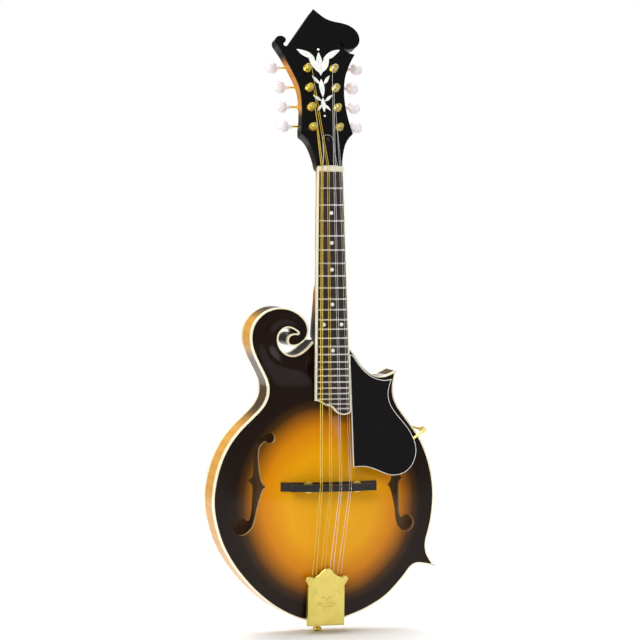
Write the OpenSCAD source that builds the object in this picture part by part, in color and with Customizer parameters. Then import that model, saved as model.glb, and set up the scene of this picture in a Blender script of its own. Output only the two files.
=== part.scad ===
// Scroll-bodied mandolin. Millimetres. +Z runs up the body and neck, the front faces -Y, +X is the treble side.
// The origin is the middle of the end pin's groove, on the centre line and half way through the rim.

/* [Body] */
// Depth of the sides with their bindings
rim_depth = 36.3; // [32:0.1:42]
// Thickness of the plates at their edge
plate_edge = 4.0; // [3:0.1:5]
// Height of the top arch over its edge
top_arch = 15.5; // [12:0.1:18]
// Height of the back arch over its edge
back_arch = 13.0; // [10:0.1:16]
// Thickness of the bent sides
rim_wall = 3.2; // [2:0.1:4]
// Width of the binding strips, seen from the front
binding_width = 1.6; // [1:0.1:2.5]
// Height of the binding strips, seen from the side
binding_height = 5.5; // [4:0.1:7]
// Height of the body's end over the origin
tail_z = 5.5; // [5:0.1:8]

/* [Neck] */
// Scale length
scale_length = 352.4; // [340:0.1:360]
// Height of the nut over the body's end
nut_z = 504.4; // [495:0.1:515]
// Place of the board's face at the nut
nut_y = -21.25; // [-25:0.05:-18]
// Angle of the neck to the body
neck_angle = 4.72; // [3:0.01:7]
// Angle of the headstock to the neck
head_angle = 14.3; // [10:0.1:17]
// Width of the board at the nut
nut_width = 29.8; // [27:0.1:32]
// Growth of the board's half width per millimetre
board_taper = 0.0219; // [0.015:0.0001:0.03]
// Thickness of the fingerboard
board_thick = 5.5; // [4:0.1:7]
// Number of frets
fret_count = 24; // [20:1:24]
// Radius of a fret's crown
fret_r = 0.95; // [0.6:0.05:1.3]
// Length of the nut along the neck
nut_length = 4.6; // [3:0.1:6]

/* [Headstock] */
// Thickness of the black face veneer
overlay_thick = 2.0; // [1:0.1:3]
// Thickness of the headstock with its veneer
head_thick = 15.3; // [13:0.1:17]
// Distance between neighbouring string posts
post_pitch = 23.0; // [22:0.1:24]
// Place of the lowest string post above the nut
post_first = 47.0; // [44:0.1:50]
// Sideways place of the string posts
post_x = 15.6; // [14:0.1:17]
// Radius of a string post
post_r = 3.0; // [2.5:0.05:3.2]
// Distance from the headstock's face to the worm shafts
worm_depth = 20.1; // [19:0.1:22]
// Pitch radius of the tuner gear
gear_r = 5.2; // [4.8:0.1:5.6]
// Pitch radius of the tuner worm
worm_r = 2.2; // [2:0.1:2.5]
// Radius of a tuner button
button_r = 7.2; // [6:0.1:8]

/* [Bridge and strings] */
// Place of the bridge over the body's end
bridge_z = 153.8; // [145:0.1:160]
// Place of the strings' centre lines over the saddle
saddle_y = -54.85; // [-58:0.05:-50]
// Distance from the centre line to each adjusting stud
stud_x = 28.6; // [25:0.1:32]
// Width of the bridge base
base_width = 112.3; // [105:0.1:118]
// Width of the saddle
saddle_width = 101; // [95:0.5:110]
// Half gap between the two strings of a course
pair_half = 1.15; // [0.9:0.05:1.5]

/* [Tailpiece] */
// Half width of the tailpiece cover
cover_half = 21.5; // [18:0.5:24]
// Radius of the end pin's groove
pin_r = 3.2; // [2.5:0.1:4]

/* [Hidden] */
$fn = 64;
eps = 0.01;
y_front = -rim_depth / 2;
y_back = rim_depth / 2;
arch_z = 140;
head_tilt = neck_angle + head_angle;
head_y = nut_y + 3.34 * cos(neck_angle) + 3.29 * sin(neck_angle);
head_z = nut_z - 3.34 * sin(neck_angle) + 3.29 * cos(neck_angle);
centre_dist = gear_r + worm_r;
gear_teeth = 16;
lead = 2 * PI * gear_r / gear_teeth;
board_end = 255.3;
hook_z = 46;
hook_y = -27.4;
clear = 0.05;

// Four points of a curve through p1 and p2 at t
function curve(p0, p1, p2, p3, t) =
    0.5 * ((2 * p1) + (p2 - p0) * t + (2 * p0 - 5 * p1 + 4 * p2 - p3) * t * t
    + (3 * p1 - p0 - 3 * p2 + p3) * t * t * t);

// A smooth open run through control points, n steps between neighbours
function smooth(pts, n) = concat(
    [for (i = [0:len(pts) - 2]) for (k = [0:n - 1])
        curve(pts[max(i - 1, 0)], pts[i], pts[i + 1], pts[min(i + 2, len(pts) - 1)], k / n)],
    [pts[len(pts) - 1]]);

// All but the last point of a run, so that runs join without a repeated corner
function open_end(pts) = [for (i = [0:len(pts) - 2]) pts[i]];

// A clockwise outline moved inwards by d, with mitred corners
function inset(pts, d) = let (n = len(pts)) [for (i = [0:n - 1])
    let (a = pts[(i + n - 1) % n], b = pts[i], c = pts[(i + 1) % n])
    let (u = (b - a) / norm(b - a), v = (c - b) / norm(c - b))
    let (p = [u[1], -u[0]], q = [v[1], -v[0]])
    b + d * (p + q) / (1 + p * q)];

function mirrored(pts) = [for (p = pts) [-p[0], p[1]]];
function fret_z(n) = -scale_length * (1 - pow(2, -n / 12));
function half_width(z) = nut_width / 2 - board_taper * z;

// Neck frame and headstock frame points in the body frame
function neck_point(x, y, z) = [x, nut_y + y * cos(neck_angle) + z * sin(neck_angle),
    nut_z - y * sin(neck_angle) + z * cos(neck_angle)];
function head_point(x, y, z) = [x, head_y + y * cos(head_tilt) + z * sin(head_tilt),
    head_z - y * sin(head_tilt) + z * cos(head_tilt)];

// Body outline: lower point round the bass side to the scroll and its slot
bass_run = [[133.4, 58.4], [123, 60.5], [112, 61.6], [104.6, 58], [97.4, 49], [87.7, 38], [74.5, 25.7],
    [60, 16.7], [43, 8.8], [22, 2.4], [0, 0], [-21.6, 2.1], [-39.3, 8.5], [-59, 19.6], [-78.7, 35.3],
    [-96.4, 54], [-109.3, 71.5], [-118.6, 88.3], [-125.4, 107], [-129.4, 125], [-130.4, 140],
    [-129, 155], [-125.6, 171], [-119.7, 187.5], [-111.2, 203], [-100.5, 216.5], [-87.5, 229], [-75.5, 241],
    [-69.7, 251.5], [-68.4, 261], [-70, 270], [-74.1, 279], [-79.5, 289], [-84.5, 299], [-88.2, 309.5],
    [-89.3, 319.5], [-88.2, 328], [-85.2, 335.2], [-80.6, 341.3], [-74.6, 346.3], [-67.4, 349.9],
    [-59.4, 351.7], [-51.1, 351.7], [-43.5, 350.1], [-36.8, 347.2], [-30.8, 343], [-26.1, 338],
    [-23.3, 332.5], [-22.2, 327], [-22.8, 321.5], [-25, 317], [-28.5, 313.4], [-33, 310.6], [-38, 309.2],
    [-42.5, 309.4], [-45.6, 311.5], [-46.7, 315.2], [-45.6, 319.2], [-42.7, 322], [-38.2, 323.2],
    [-34.6, 322.9], [-34.2, 324.3], [-37, 326.3], [-41, 328.4], [-45.8, 329.6], [-50.4, 328.5],
    [-54.2, 325.7], [-56.7, 322], [-57.6, 317.2], [-56.8, 311.6], [-54.2, 306.4], [-50.2, 302.2],
    [-45.1, 299.4], [-39.3, 298.6], [-33, 300.2], [-27.2, 303.7], [-21.5, 308.5], [-16.7, 314]];
// Treble cutaway from the neck to the upper point
cutaway_run = [[17.5, 314], [19.6, 309.5], [24, 306.4], [30.2, 302], [35, 295], [41.1, 287], [47.4, 281.2],
    [54.1, 277], [60.1, 275], [66, 274.6], [73, 276.2], [82.5, 280.5]];
// Treble side from the upper point to the lower point
treble_run = [[82.5, 280.5], [80.9, 272], [79.6, 264.5], [79.5, 257], [81.1, 249.3], [84.7, 241.6],
    [89.9, 234.4], [96, 226.6], [103.5, 217], [112, 205], [119.2, 191], [124.4, 177], [127.9, 163],
    [130, 150], [130.6, 137], [129.9, 123], [128, 109], [125.2, 97], [122.9, 88], [122.6, 80],
    [124.9, 71.5], [133.4, 58.4]];
outline = concat(smooth(bass_run, 2), smooth(cutaway_run, 2), open_end(open_end(smooth(
    [for (i = [1:len(treble_run) - 1]) treble_run[i]], 2))), []);
// The outline's main curves, without the points and the scroll
bout_outline = [for (p = outline)
    if (p[1] < 296 && !(p[0] > 118 && p[1] > 50 && p[1] < 78) && !(p[0] > 70 && p[1] > 266)) p];
plate_outline = inset(outline, binding_width);
inner_outline = inset(outline, rim_wall);

// Arch height over the plate edge, against distance from the arch's centre
arch_shape = [[132, 0], [125, 0.02], [115, 0.065], [105, 0.142], [95, 0.258], [84, 0.413], [72, 0.57],
    [60, 0.72], [46, 0.85], [30, 0.94], [14, 0.987], [0, 1]];

// Treble side sound hole: the long slot with its two nicks, and the places of its eyes
slot_shape = concat(
    smooth([[70.5, 211], [75, 209.4], [79.4, 204.8], [82.4, 198.5], [84.4, 188.7], [85.3, 178.9],
        [86, 167], [88, 163]], 2),
    smooth([[91.6, 160.5], [88, 157.5], [86.5, 152.5], [86.8, 143], [87.4, 128], [88.8, 119], [93, 112]], 2),
    smooth([[90, 103.5], [86.2, 106.5], [83.2, 115], [81.8, 124.2], [79.6, 134], [76.6, 144.5],
        [74.4, 150.5]], 2),
    smooth([[71.6, 153.3], [74.9, 156.6], [77.2, 163.5], [78.7, 174], [79.3, 184], [79, 192], [77.2, 198],
        [73.5, 202], [69, 204]], 2));
upper_eye = [66, 207.2];
lower_eye = [97.2, 108.8];
upper_eye_r = 5.7;
lower_eye_r = 9.6;

// Headstock outline in its own plane, clockwise from the nut
head_outline = concat(
    open_end(smooth([[-14.9, 0], [-15.4, 7], [-16.9, 15], [-19.6, 24.5], [-23.8, 33], [-30, 39.3]], 2)),
    smooth([[-30, 39.3], [-29.2, 46.9], [-27.4, 56], [-26, 66], [-25.4, 76], [-25.3, 84], [-26, 92],
        [-28.2, 101], [-31.8, 110.5], [-36.4, 121], [-41.2, 131.5], [-46, 140.3], [-49.6, 146.3],
        [-49.2, 151], [-46, 153.8], [-42, 154.3], [-38.6, 152.8], [-37.1, 150], [-38.2, 147.4],
        [-40.3, 145.4], [-40.2, 143.2], [-38, 142.2]], 2),
    [[-35.7, 142.7]],
    smooth([[-1.3, 187.2], [5.2, 181.6], [10.2, 177.6], [16, 174.6], [23.3, 172.6], [31, 171.2],
        [38.2, 169.1], [44, 165.8], [48.1, 161.4], [50.3, 156.2], [50.5, 150.9], [48.8, 146.2],
        [45, 142.4], [40.4, 140.4], [35.8, 141.2], [31.6, 144.2], [29, 148.2], [28.2, 152.2],
        [26.9, 151.9], [27.2, 147], [29.3, 142], [32.8, 138], [37, 135.4], [43, 133.9]], 2),
    open_end(smooth([[38.6, 127], [34, 118.6], [29.7, 108.6], [27, 98], [25.7, 87], [25.6, 76],
        [26.4, 65.7], [28.3, 53], [31.4, 39.9]], 2)),
    smooth([[31.4, 39.9], [25.2, 33.6], [20.6, 26], [17.5, 16.5], [15.6, 7.5], [14.9, 0]], 2));

// Fingerboard outline in the neck frame, clockwise, with its two-lobed end
board_outline = concat(
    [[-nut_width / 2, 0], [nut_width / 2, 0]],
    smooth([[half_width(-264), -264], [20.3, -268], [17.4, -270.2], [11.7, -271.2], [5.9, -269.6],
        [1.8, -266], [-1.9, -262.2], [-8, -260.8], [-12.6, -258], [-16.5, -255.9],
        [-half_width(-board_end), -board_end]], 3));

// Pickguard outline in the plane of the board, clockwise
guard_outline = concat(
    [[20.2, 300]],
    smooth([[24, 299.4], [28, 293], [33, 286.6], [39, 280.4], [46.2, 275.4], [53.8, 272.3], [61.8, 271.1],
        [70, 272.2]], 4),
    smooth([[67.2, 265.5], [65.7, 257.5], [66.2, 249.6], [69.2, 241.8], [74.4, 234.4], [80.6, 227],
        [87, 219.6], [92, 212], [96.1, 203.6], [98, 195], [97.4, 186.6], [94.2, 178.2], [88.9, 171.3],
        [81.4, 166.8], [72.9, 165], [64.2, 166], [55.6, 169.2], [46.6, 172.8], [38.4, 174.9],
        [30.6, 175.4], [23.4, 174.6]], 4),
    [[21.9, 235]]);

post_s = [for (i = [0:3]) post_first + post_pitch * i];
button_x = [43.2, 43.2, 43.2, 50.6];
dot_frets = [3, 5, 7, 10, 15];
screw_s = [38.8, 61.5, 84.5, 107.5, 130.2];

// Half place of each string at the nut, at the saddle and at the hooks, bass to treble
nut_courses = [-10.9, -3.7, 3.8, 10.8];
saddle_courses = [-17.2, -5.9, 5.8, 17.2];
hook_courses = [-14.4, -4.9, 4.9, 14.4];
string_r = [0.50, 0.50, 0.33, 0.33, 0.22, 0.22, 0.16, 0.16];
function nut_x(i) = nut_courses[floor(i / 2)] + (i % 2 == 0 ? -1 : 1) * 0.95;
function saddle_x(i) = saddle_courses[floor(i / 2)] + (i % 2 == 0 ? -1 : 1) * pair_half;
function hook_x(i) = hook_courses[floor(i / 2)] + (i % 2 == 0 ? -1 : 1) * 2.2;
function post_of(i) = i < 4 ? i : 7 - i;
function side_of(i) = i < 4 ? -1 : 1;

// ---- frames and common shapes ----

module on_body() translate([0, 0, tail_z]) children();
module on_neck() on_body() translate([0, nut_y, nut_z]) rotate([-neck_angle, 0, 0]) children();
module on_head() on_body() translate([0, head_y, head_z]) rotate([-head_tilt, 0, 0]) children();

// A plate of the given outline in X and Z, from y to y + depth
module flat(pts, y, depth)
    translate([0, y + depth, 0])
        rotate([90, 0, 0])
            linear_extrude(height = depth)
                polygon(pts);

// A round bar along Y from y to y + length
module bar_y(x, z, y, length, r)
    translate([x, y + length, z])
        rotate([90, 0, 0])
            cylinder(h = length, r = r);

// A round bar along X from x to x + length
module bar_x(x, y, z, length, r)
    translate([x, y, z])
        rotate([0, 90, 0])
            cylinder(h = length, r = r);

// A round bar between two points
module rod(a, b, r) {
    d = b - a;
    translate(a)
        rotate([0, acos(d[2] / norm(d)), atan2(d[1], d[0])])
            cylinder(h = norm(d), r = r);
}

// The solid between the plate edge plane and its arch, pointing to -Y
module arch(height)
    translate([0, 0, arch_z])
        rotate([90, 0, 0])
            rotate_extrude()
                polygon(concat([[0, 0]], [for (p = arch_shape) [p[0], p[1] * height]]));

// ---- body ----

module top_blank() {
    flat(plate_outline, y_front, plate_edge);
    intersection() {
        translate([0, y_front, 0]) arch(top_arch);
        flat(plate_outline, y_front - top_arch - 1, top_arch + 1 + eps);
    }
}

module sound_hole() {
    flat(slot_shape, y_front - 20, 30);
    bar_y(upper_eye[0], upper_eye[1], y_front - 20, 30, upper_eye_r);
    bar_y(lower_eye[0], lower_eye[1], y_front - 20, 30, lower_eye_r);
}

module top_plate()
    color([0.80, 0.50, 0.14])
        on_body()
            difference() {
                top_blank();
                intersection() {
                    translate([0, y_front + plate_edge, 0]) arch(top_arch);
                    flat(inner_outline, y_front - top_arch, top_arch + plate_edge);
                }
                sound_hole();
                mirror([1, 0, 0]) sound_hole();
            }

module back_plate()
    color([0.55, 0.32, 0.14])
        on_body()
            difference() {
                union() {
                    flat(plate_outline, y_back - plate_edge, plate_edge);
                    intersection() {
                        translate([0, y_back, 0]) mirror([0, 1, 0]) arch(back_arch);
                        flat(plate_outline, y_back - eps, back_arch + 1);
                    }
                }
                intersection() {
                    translate([0, y_back - plate_edge, 0]) mirror([0, 1, 0]) arch(back_arch);
                    flat(inner_outline, y_back - plate_edge, back_arch + plate_edge);
                }
            }

module rim()
    color([0.72, 0.45, 0.20])
        on_body()
            difference() {
                union() {
                    flat(outline, y_front + binding_height, rim_depth - 2 * binding_height);
                    flat(plate_outline, y_front + plate_edge, rim_depth - 2 * plate_edge);
                }
                flat(inner_outline, y_front, rim_depth);
                translate([0, 0, -1]) cylinder(h = 12, r = pin_r);
                tail_screw_holes();
            }

module body_binding()
    color([0.95, 0.92, 0.78])
        on_body()
            for (y = [y_front, y_back - binding_height])
                difference() {
                    flat(outline, y, binding_height);
                    flat(plate_outline, y - 1, binding_height + 2);
                }

module block_shapes() {
    // Tail block
    translate([-24, -30, -5]) cube([48, 60, 27]);
    // Neck and scroll block
    translate([-100, -30, 284]) cube([130, 60, 90]);
    // Upper point block
    translate([62, -30, 262]) cube([40, 60, 40]);
    // Lower point block
    translate([114, -30, 46]) cube([40, 60, 40]);
}

module body_blocks()
    color([0.70, 0.52, 0.32])
        on_body()
            difference() {
                intersection() {
                    flat(inner_outline, y_front + plate_edge, rim_depth - 2 * plate_edge);
                    block_shapes();
                }
                translate([0, 0, -1]) cylinder(h = 25, r = pin_r);
                tail_screw_holes();
            }

// Corner numbers of the stretches of the sides that carry a lining
lining_out = inset(bout_outline, rim_wall);
lining_in = inset(bout_outline, rim_wall + 4);
bass_stretch = [for (i = [0:len(lining_out) - 1]) let (p = lining_out[i])
    if (p[0] < -24 && p[1] > 5 && p[1] < 283) i];
treble_stretch = [for (i = [0:len(lining_out) - 1]) let (p = lining_out[i])
    if (p[0] > 60 && p[1] > 88 && p[1] < 260) i];
tail_stretch = [for (i = [0:len(lining_out) - 1]) let (p = lining_out[i])
    if (p[0] > 24 && p[1] < 47) i];
cutaway_stretch = [for (i = [0:len(lining_out) - 1]) let (p = lining_out[i])
    if (p[0] > 34 && p[0] < 62 && p[1] > 262 && p[1] < 284) i];

module lining(stretch, y)
    flat(concat([for (i = stretch) lining_out[i]],
        [for (k = [len(stretch) - 1:-1:0]) lining_in[stretch[k]]]), y, 8);

module linings()
    color([0.74, 0.58, 0.38])
        on_body()
            for (y = [y_front + plate_edge, y_back - plate_edge - 8]) {
                lining(bass_stretch, y);
                lining(treble_stretch, y);
                lining(tail_stretch, y);
                lining(cutaway_stretch, y);
            }

module tone_bars()
    color([0.82, 0.66, 0.42])
        on_body()
            intersection() {
                translate([0, y_front + plate_edge, 0]) arch(top_arch);
                union() {
                    translate([-30, y_front - 8.5, 52]) rotate([0, 2, 0]) cube([6, 20, 172]);
                    translate([24, y_front - 8.5, 52]) rotate([0, -2, 0]) cube([6, 20, 172]);
                }
            }

// ---- neck ----

module on_neck_local() translate([0, nut_y, nut_z]) rotate([-neck_angle, 0, 0]) children();
module on_head_local() translate([0, head_y, head_z]) rotate([-head_tilt, 0, 0]) children();

module nut_block() translate([-nut_width / 2, -1.9, 0]) cube([nut_width, 1.9 + board_thick, nut_length]);

// The pocket for the truss rod's nut, open at the headstock's face
module truss_pocket() translate([-4.6, 2, 5.2]) cube([9.2, 12.2, 20]);

module post_holes(r, y, length)
    for (side = [-1, 1])
        for (s = post_s)
            bar_y(side * post_x, s, y, length, r);

// Pilot holes of the small screws: five in each tuner plate and one in the truss rod cover
module small_screw_shanks() {
    for (side = [-1, 1])
        for (s = screw_s)
            bar_y(side * post_x, s, head_thick - 6.5, 8.5, 0.9);
    bar_y(0.5, 32, -2.2, 8.5, 0.9);
}

// Half round shaft under the board
module neck_shaft()
    difference() {
        translate([0, board_thick, -200])
            cylinder(h = 203.2, r1 = half_width(-200), r2 = nut_width / 2);
        translate([-40, board_thick - 60, -201]) cube([80, 60, 210]);
    }

module heel()
    intersection() {
        translate([-30, 0, 0])
            rotate([90, 0, 90])
                linear_extrude(height = 60)
                    polygon(concat([[y_back, 313]], smooth([[y_back, 322], [14, 326.5], [4, 334], [-6, 346],
                        [-12, 360], [-14.5, 374]], 3), [[-24, 374], [-31, 313]]));
        translate([0, 0, 300])
            linear_extrude(height = 90)
                polygon([[-19, -45], [19, -45], [18, -18], [15, -4], [11, 9], [8, y_back + 1],
                    [-8, y_back + 1], [-11, 9], [-15, -4], [-18, -18]]);
    }

// Block that carries the board's end over the top
module riser()
    difference() {
        intersection() {
            on_neck_local()
                flat([[-17.5, -190], [17.5, -190], [18.5, -232], [16.5, -240], [-16.5, -240],
                    [-18.5, -232]], board_thick, 26);
            translate([-40, -80, 200]) cube([80, 80 + y_front, 114.1]);
        }
        top_blank();
    }

module neck()
    color([0.62, 0.38, 0.17])
        on_body()
            difference() {
                union() {
                    difference() {
                        union() {
                            on_neck_local() neck_shaft();
                            heel();
                        }
                        translate([-40, -60, 214]) cube([80, 120, 100]);
                    }
                    riser();
                    on_head_local() flat(head_outline, overlay_thick, head_thick - overlay_thick);
                }
                on_neck_local() {
                    nut_block();
                    truss_pocket();
                    translate([0, 9.5, -186]) cylinder(h = 195, r = 2.55);
                }
                on_head_local() {
                    post_holes(3.9, 0, 8);
                    post_holes(3.3, 7, 10);
                    small_screw_shanks();
                }
            }

module truss_rod()
    color([0.60, 0.60, 0.62])
        on_body()
            on_neck_local()
                translate([0, 9.5, -186]) cylinder(h = 197, r = 2.5);

// Truss rod nut with its hexagon socket
module truss_rod_nut()
    color([0.80, 0.65, 0.30])
        on_body()
            on_neck_local()
                translate([0, 9.5, 6])
                    difference() {
                        cylinder(h = 8.5, r = 3.1);
                        translate([0, 0, -1]) cylinder(h = 6.2, r = 2.5 + clear);
                        translate([0, 0, 5.8]) cylinder(h = 6, r = 2, $fn = 6);
                    }

// ---- headstock ----

leaf = smooth([[0, 0], [2.4, 4], [3.3, 9], [2.2, 15], [0.4, 21]], 2);
leaf_left = smooth([[-0.4, 21], [-2.6, 15], [-2.9, 9], [-1.8, 4], [-0.2, 0.2]], 2);

module petal(x, s, turn, size)
    translate([x, 0, s])
        rotate([0, turn, 0])
            flat([for (p = concat(leaf, leaf_left)) p * size], 0, 0.8);

// Plain spray of leaves that keeps clear of the string posts, with a drop at each end
module ornament() {
    petal(0, 108, 0, 1.3);
    petal(0, 104, 180, 1.0);
    petal(0, 82, 180, 0.8);
    for (side = [-1, 1]) {
        petal(side * 2.2, 112, side * 24, 1.15);
        petal(side * 5, 128, side * 62, 1.1);
        petal(side * 2.5, 98, side * 38, 0.6);
        petal(side * 2.2, 78, side * 52, 0.55);
        petal(side * 1.6, 74, side * 140, 0.45);
    }
    bar_y(0, 139, 0, 0.8, 1.4);
    bar_y(0, 60.5, 0, 0.8, 1.2);
}

module head_overlay()
    color([0.08, 0.07, 0.07])
        on_body()
            difference() {
                on_head_local() flat(head_outline, 0, overlay_thick);
                on_neck_local() {
                    nut_block();
                    truss_pocket();
                }
                on_head_local() {
                    post_holes(3.9, -1, 8);
                    small_screw_shanks();
                    ornament();
                }
            }

module head_inlay() color([0.93, 0.93, 0.90]) on_head() ornament();

cover_outline = concat(smooth([[-8.6, 1.8], [-7.4, 8], [-6.2, 18], [-5.8, 30], [-4.4, 35.6], [0.5, 38],
    [5.4, 35.6], [6.8, 30], [7.2, 18], [8.2, 8], [9.2, 1.8]], 3), []);

module truss_cover()
    color([0.07, 0.07, 0.07])
        on_head()
            difference() {
                flat(cover_outline, -1.6, 1.6);
                small_screw_shanks();
            }

// One small dome-headed screw, its head on the plane y = 0 and pointing to -Y
module small_screw() {
    bar_y(0, 0, 0, 6, 0.9);
    translate([0, 1.1, 0])
        difference() {
            rotate([90, 0, 0]) rotate_extrude() polygon([[0, 1.1], [2, 1.1], [1.9, 1.6], [1.4, 2.1],
                [0.7, 2.35], [0, 2.4]]);
            translate([-0.3, -3, -3]) cube([0.6, 1.3, 6]);
        }
}

module small_screws()
    color([0.83, 0.70, 0.36])
        on_head() {
            for (side = [-1, 1])
                for (s = screw_s)
                    translate([side * post_x, head_thick + 1.2, s])
                        rotate([0, 0, 180])
                            small_screw();
            translate([0.5, -1.6, 32]) small_screw();
        }

module post_bushings()
    color([0.86, 0.74, 0.40])
        on_head()
            for (side = [-1, 1])
                for (s = post_s)
                    difference() {
                        union() {
                            bar_y(side * post_x, s, 0, 8, 3.88);
                            bar_y(side * post_x, s, -1.1, 1.1, 4.6);
                        }
                        bar_y(side * post_x, s, -2, 11, post_r + clear);
                    }

module tuner_plates()
    color([0.84, 0.72, 0.38])
        on_head()
            for (side = [-1, 1])
                difference() {
                    union() {
                        translate([side * post_x - 7.4, head_thick, 34]) cube([14.8, 1.2, 101]);
                        for (s = post_s)
                            for (x = [-7.4, 6])
                                translate([side * post_x + x, head_thick, s + centre_dist - 3.6])
                                    cube([1.4, 8.2, 7.2]);
                    }
                    for (s = post_s) {
                        bar_y(side * post_x, s, head_thick - 1, 3, post_r + clear);
                        bar_x(side * post_x - 10, worm_depth, s + centre_dist, 20, 1.5 + clear);
                    }
                    small_screw_shanks();
                }

// Gear tooth corners: half width and radius at the root and the tip
function gear_points() = [for (i = [0:gear_teeth - 1]) let (a = 90 + i * 360 / gear_teeth)
    for (p = [[0.46, 4.45], [0.24, 5.62], [-0.24, 5.62], [-0.46, 4.45]])
        [p[1] * cos(a) + p[0] * sin(a), p[1] * sin(a) - p[0] * cos(a)]];

// String post with its gear and gear screw
module post(i)
    color([0.85, 0.73, 0.38])
        on_head()
            translate([side_of(i) * post_x, 0, post_s[post_of(i)]]) {
                difference() {
                    union() {
                        bar_y(0, 0, -8.2, head_thick + 8.2 + 3.5, post_r);
                        bar_y(0, 0, -9, 0.8, post_r - 0.5);
                    }
                    bar_x(-5, -6.2, 0, 10, 0.7);
                }
                flat(gear_points(), worm_depth - 1.5, 3);
                bar_y(0, 0, worm_depth + 1.5, 1.6, 2.6);
            }

// Worm thread: a ribbon of four-cornered sections round the X axis, phased to the gear at rest
function thread_points(turns, steps) = [for (k = [0:turns * steps])
    let (a = 360 * k / steps, x = lead * (a / 360 - turns / 2) - lead / 4)
    for (p = [[-0.50, 1.2], [-0.21, 2.68], [0.21, 2.68], [0.50, 1.2]])
        [x + p[0], p[1] * cos(a), p[1] * sin(a)]];
function thread_faces(n) = concat(
    [[0, 2, 1], [0, 3, 2]],
    [for (k = [0:n - 1]) for (j = [0:3]) [4 * k + j, 4 * k + 4 + (j + 1) % 4, 4 * k + 4 + j]],
    [for (k = [0:n - 1]) for (j = [0:3]) [4 * k + j, 4 * k + (j + 1) % 4, 4 * k + 4 + (j + 1) % 4]],
    [[4 * n, 4 * n + 1, 4 * n + 2], [4 * n, 4 * n + 2, 4 * n + 3]]);

// Worm and shaft of one tuner, out to its button
module worm(i) {
    reach = button_x[post_of(i)] - post_x;
    side = side_of(i);
    color([0.83, 0.71, 0.36])
        on_head()
            translate([side * post_x, worm_depth, post_s[post_of(i)] + centre_dist]) {
                polyhedron(points = thread_points(4, 12), faces = thread_faces(48));
                bar_x(-5.5, 0, 0, 11, 1.6);
                if (side > 0) {
                    bar_x(-7.6, 0, 0, reach + 7.6 - 5, 1.5);
                    bar_x(8, 0, 0, 1.2, 2.3);
                } else {
                    bar_x(-reach + 5, 0, 0, reach + 7.6 - 5, 1.5);
                    bar_x(-9.2, 0, 0, 1.2, 2.3);
                }
            }
}

// Round pearl button on the end of a worm shaft
module button(i) {
    reach = button_x[post_of(i)];
    side = side_of(i);
    color([0.94, 0.92, 0.92])
        on_head()
            translate([side * reach, worm_depth, post_s[post_of(i)] + centre_dist])
                difference() {
                    union() {
                        intersection() {
                            translate([0, -8.2, 0]) sphere(r = 11.4);
                            translate([0, 8.2, 0]) sphere(r = 11.4);
                            bar_y(0, 0, -4, 8, button_r);
                        }
                        bar_x(side > 0 ? -10.5 : 5, 0, 0, 5.5, 2.4);
                    }
                    bar_x(side > 0 ? -12 : 5, 0, 0, 7, 1.5);
                }
}

// ---- fingerboard ----

module dots() {
    for (n = dot_frets)
        bar_y(0, (fret_z(n) + fret_z(n - 1)) / 2, 0, 1.2, 2.15);
    for (x = [-10.4, 10.4])
        bar_y(x, (fret_z(12) + fret_z(11)) / 2, 0, 1.2, 2.15);
}

module fretboard()
    color([0.16, 0.10, 0.08])
        on_neck()
            difference() {
                flat(inset(board_outline, 1.3), 0, board_thick);
                dots();
            }

module board_binding()
    color([0.95, 0.92, 0.80])
        on_neck()
            difference() {
                flat(board_outline, 0, board_thick);
                flat(inset(board_outline, 1.3), -1, board_thick + 2);
            }

module fret(z, x0, x1)
    difference() {
        bar_x(x0, 0, z, x1 - x0, fret_r);
        translate([x0 - 1, 0, z - 2]) cube([x1 - x0 + 2, 4, 4]);
    }

module frets()
    color([0.80, 0.80, 0.80])
        on_neck()
            for (n = [1:fret_count])
                fret(fret_z(n), n < 23 ? 0.6 - half_width(fret_z(n)) : n == 23 ? -10.4 : 3.2,
                    half_width(fret_z(n)) - 0.6);

module fret_dots() color([0.93, 0.92, 0.88]) on_neck() dots();

// ---- strings ----

function s_nut(i) = neck_point(nut_x(i), -1.25 - string_r[i], 1.2);
function s_nut_back(i) = neck_point(nut_x(i), -1.1 - string_r[i], nut_length - 0.6);
function s_saddle(i) = [saddle_x(i), saddle_y, bridge_z];
function s_hook(i) = [hook_x(i), hook_y, hook_z];
coil_depth = [-3, -4.6, -5.8, -6.6];
function s_post(i) = head_point(side_of(i) * (post_x - post_r - clear - 1.15 * string_r[i]), coil_depth[post_of(i)],
    post_s[post_of(i)]);

// One string from its hook over the saddle and nut to its post
module string(i) {
    r = string_r[i];
    rod(s_hook(i), s_saddle(i), r);
    rod(s_saddle(i), s_nut(i), r);
    rod(s_nut(i), s_nut_back(i), r);
    rod(s_nut_back(i), s_post(i), r);
    for (p = [s_hook(i), s_saddle(i), s_nut(i), s_nut_back(i)])
        translate(p) sphere(r = r * 1.08);
}

// The turns of a string on its post, as one sleeve
module string_coil(i)
    on_head_local()
        translate([side_of(i) * post_x, coil_depth[post_of(i)], post_s[post_of(i)]])
            difference() {
                bar_y(0, 0, -2 * string_r[i], 4 * string_r[i], post_r + clear + 2.3 * string_r[i]);
                bar_y(0, 0, -4 * string_r[i], 8 * string_r[i], post_r + clear);
            }

module wound_strings()
    color([0.78, 0.66, 0.42])
        on_body()
            for (i = [0:3]) {
                string(i);
                string_coil(i);
            }

module plain_strings()
    color([0.82, 0.82, 0.82])
        on_body()
            for (i = [4:7]) {
                string(i);
                string_coil(i);
            }

module nut()
    color([0.93, 0.90, 0.82])
        on_body()
            difference() {
                on_neck_local() nut_block();
                on_neck_local()
                    for (i = [0:7])
                        translate([nut_x(i) - string_r[i] - 0.05, -4, -1])
                            cube([2 * string_r[i] + 0.1, 2.9, nut_length + 2]);
            }

// ---- bridge ----

base_top = -41;
wheel_y = -42.5;
wheel_thick = 2.4;
saddle_low = wheel_y - wheel_thick - 0.1;
saddle_crest = saddle_y + 0.1;

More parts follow.
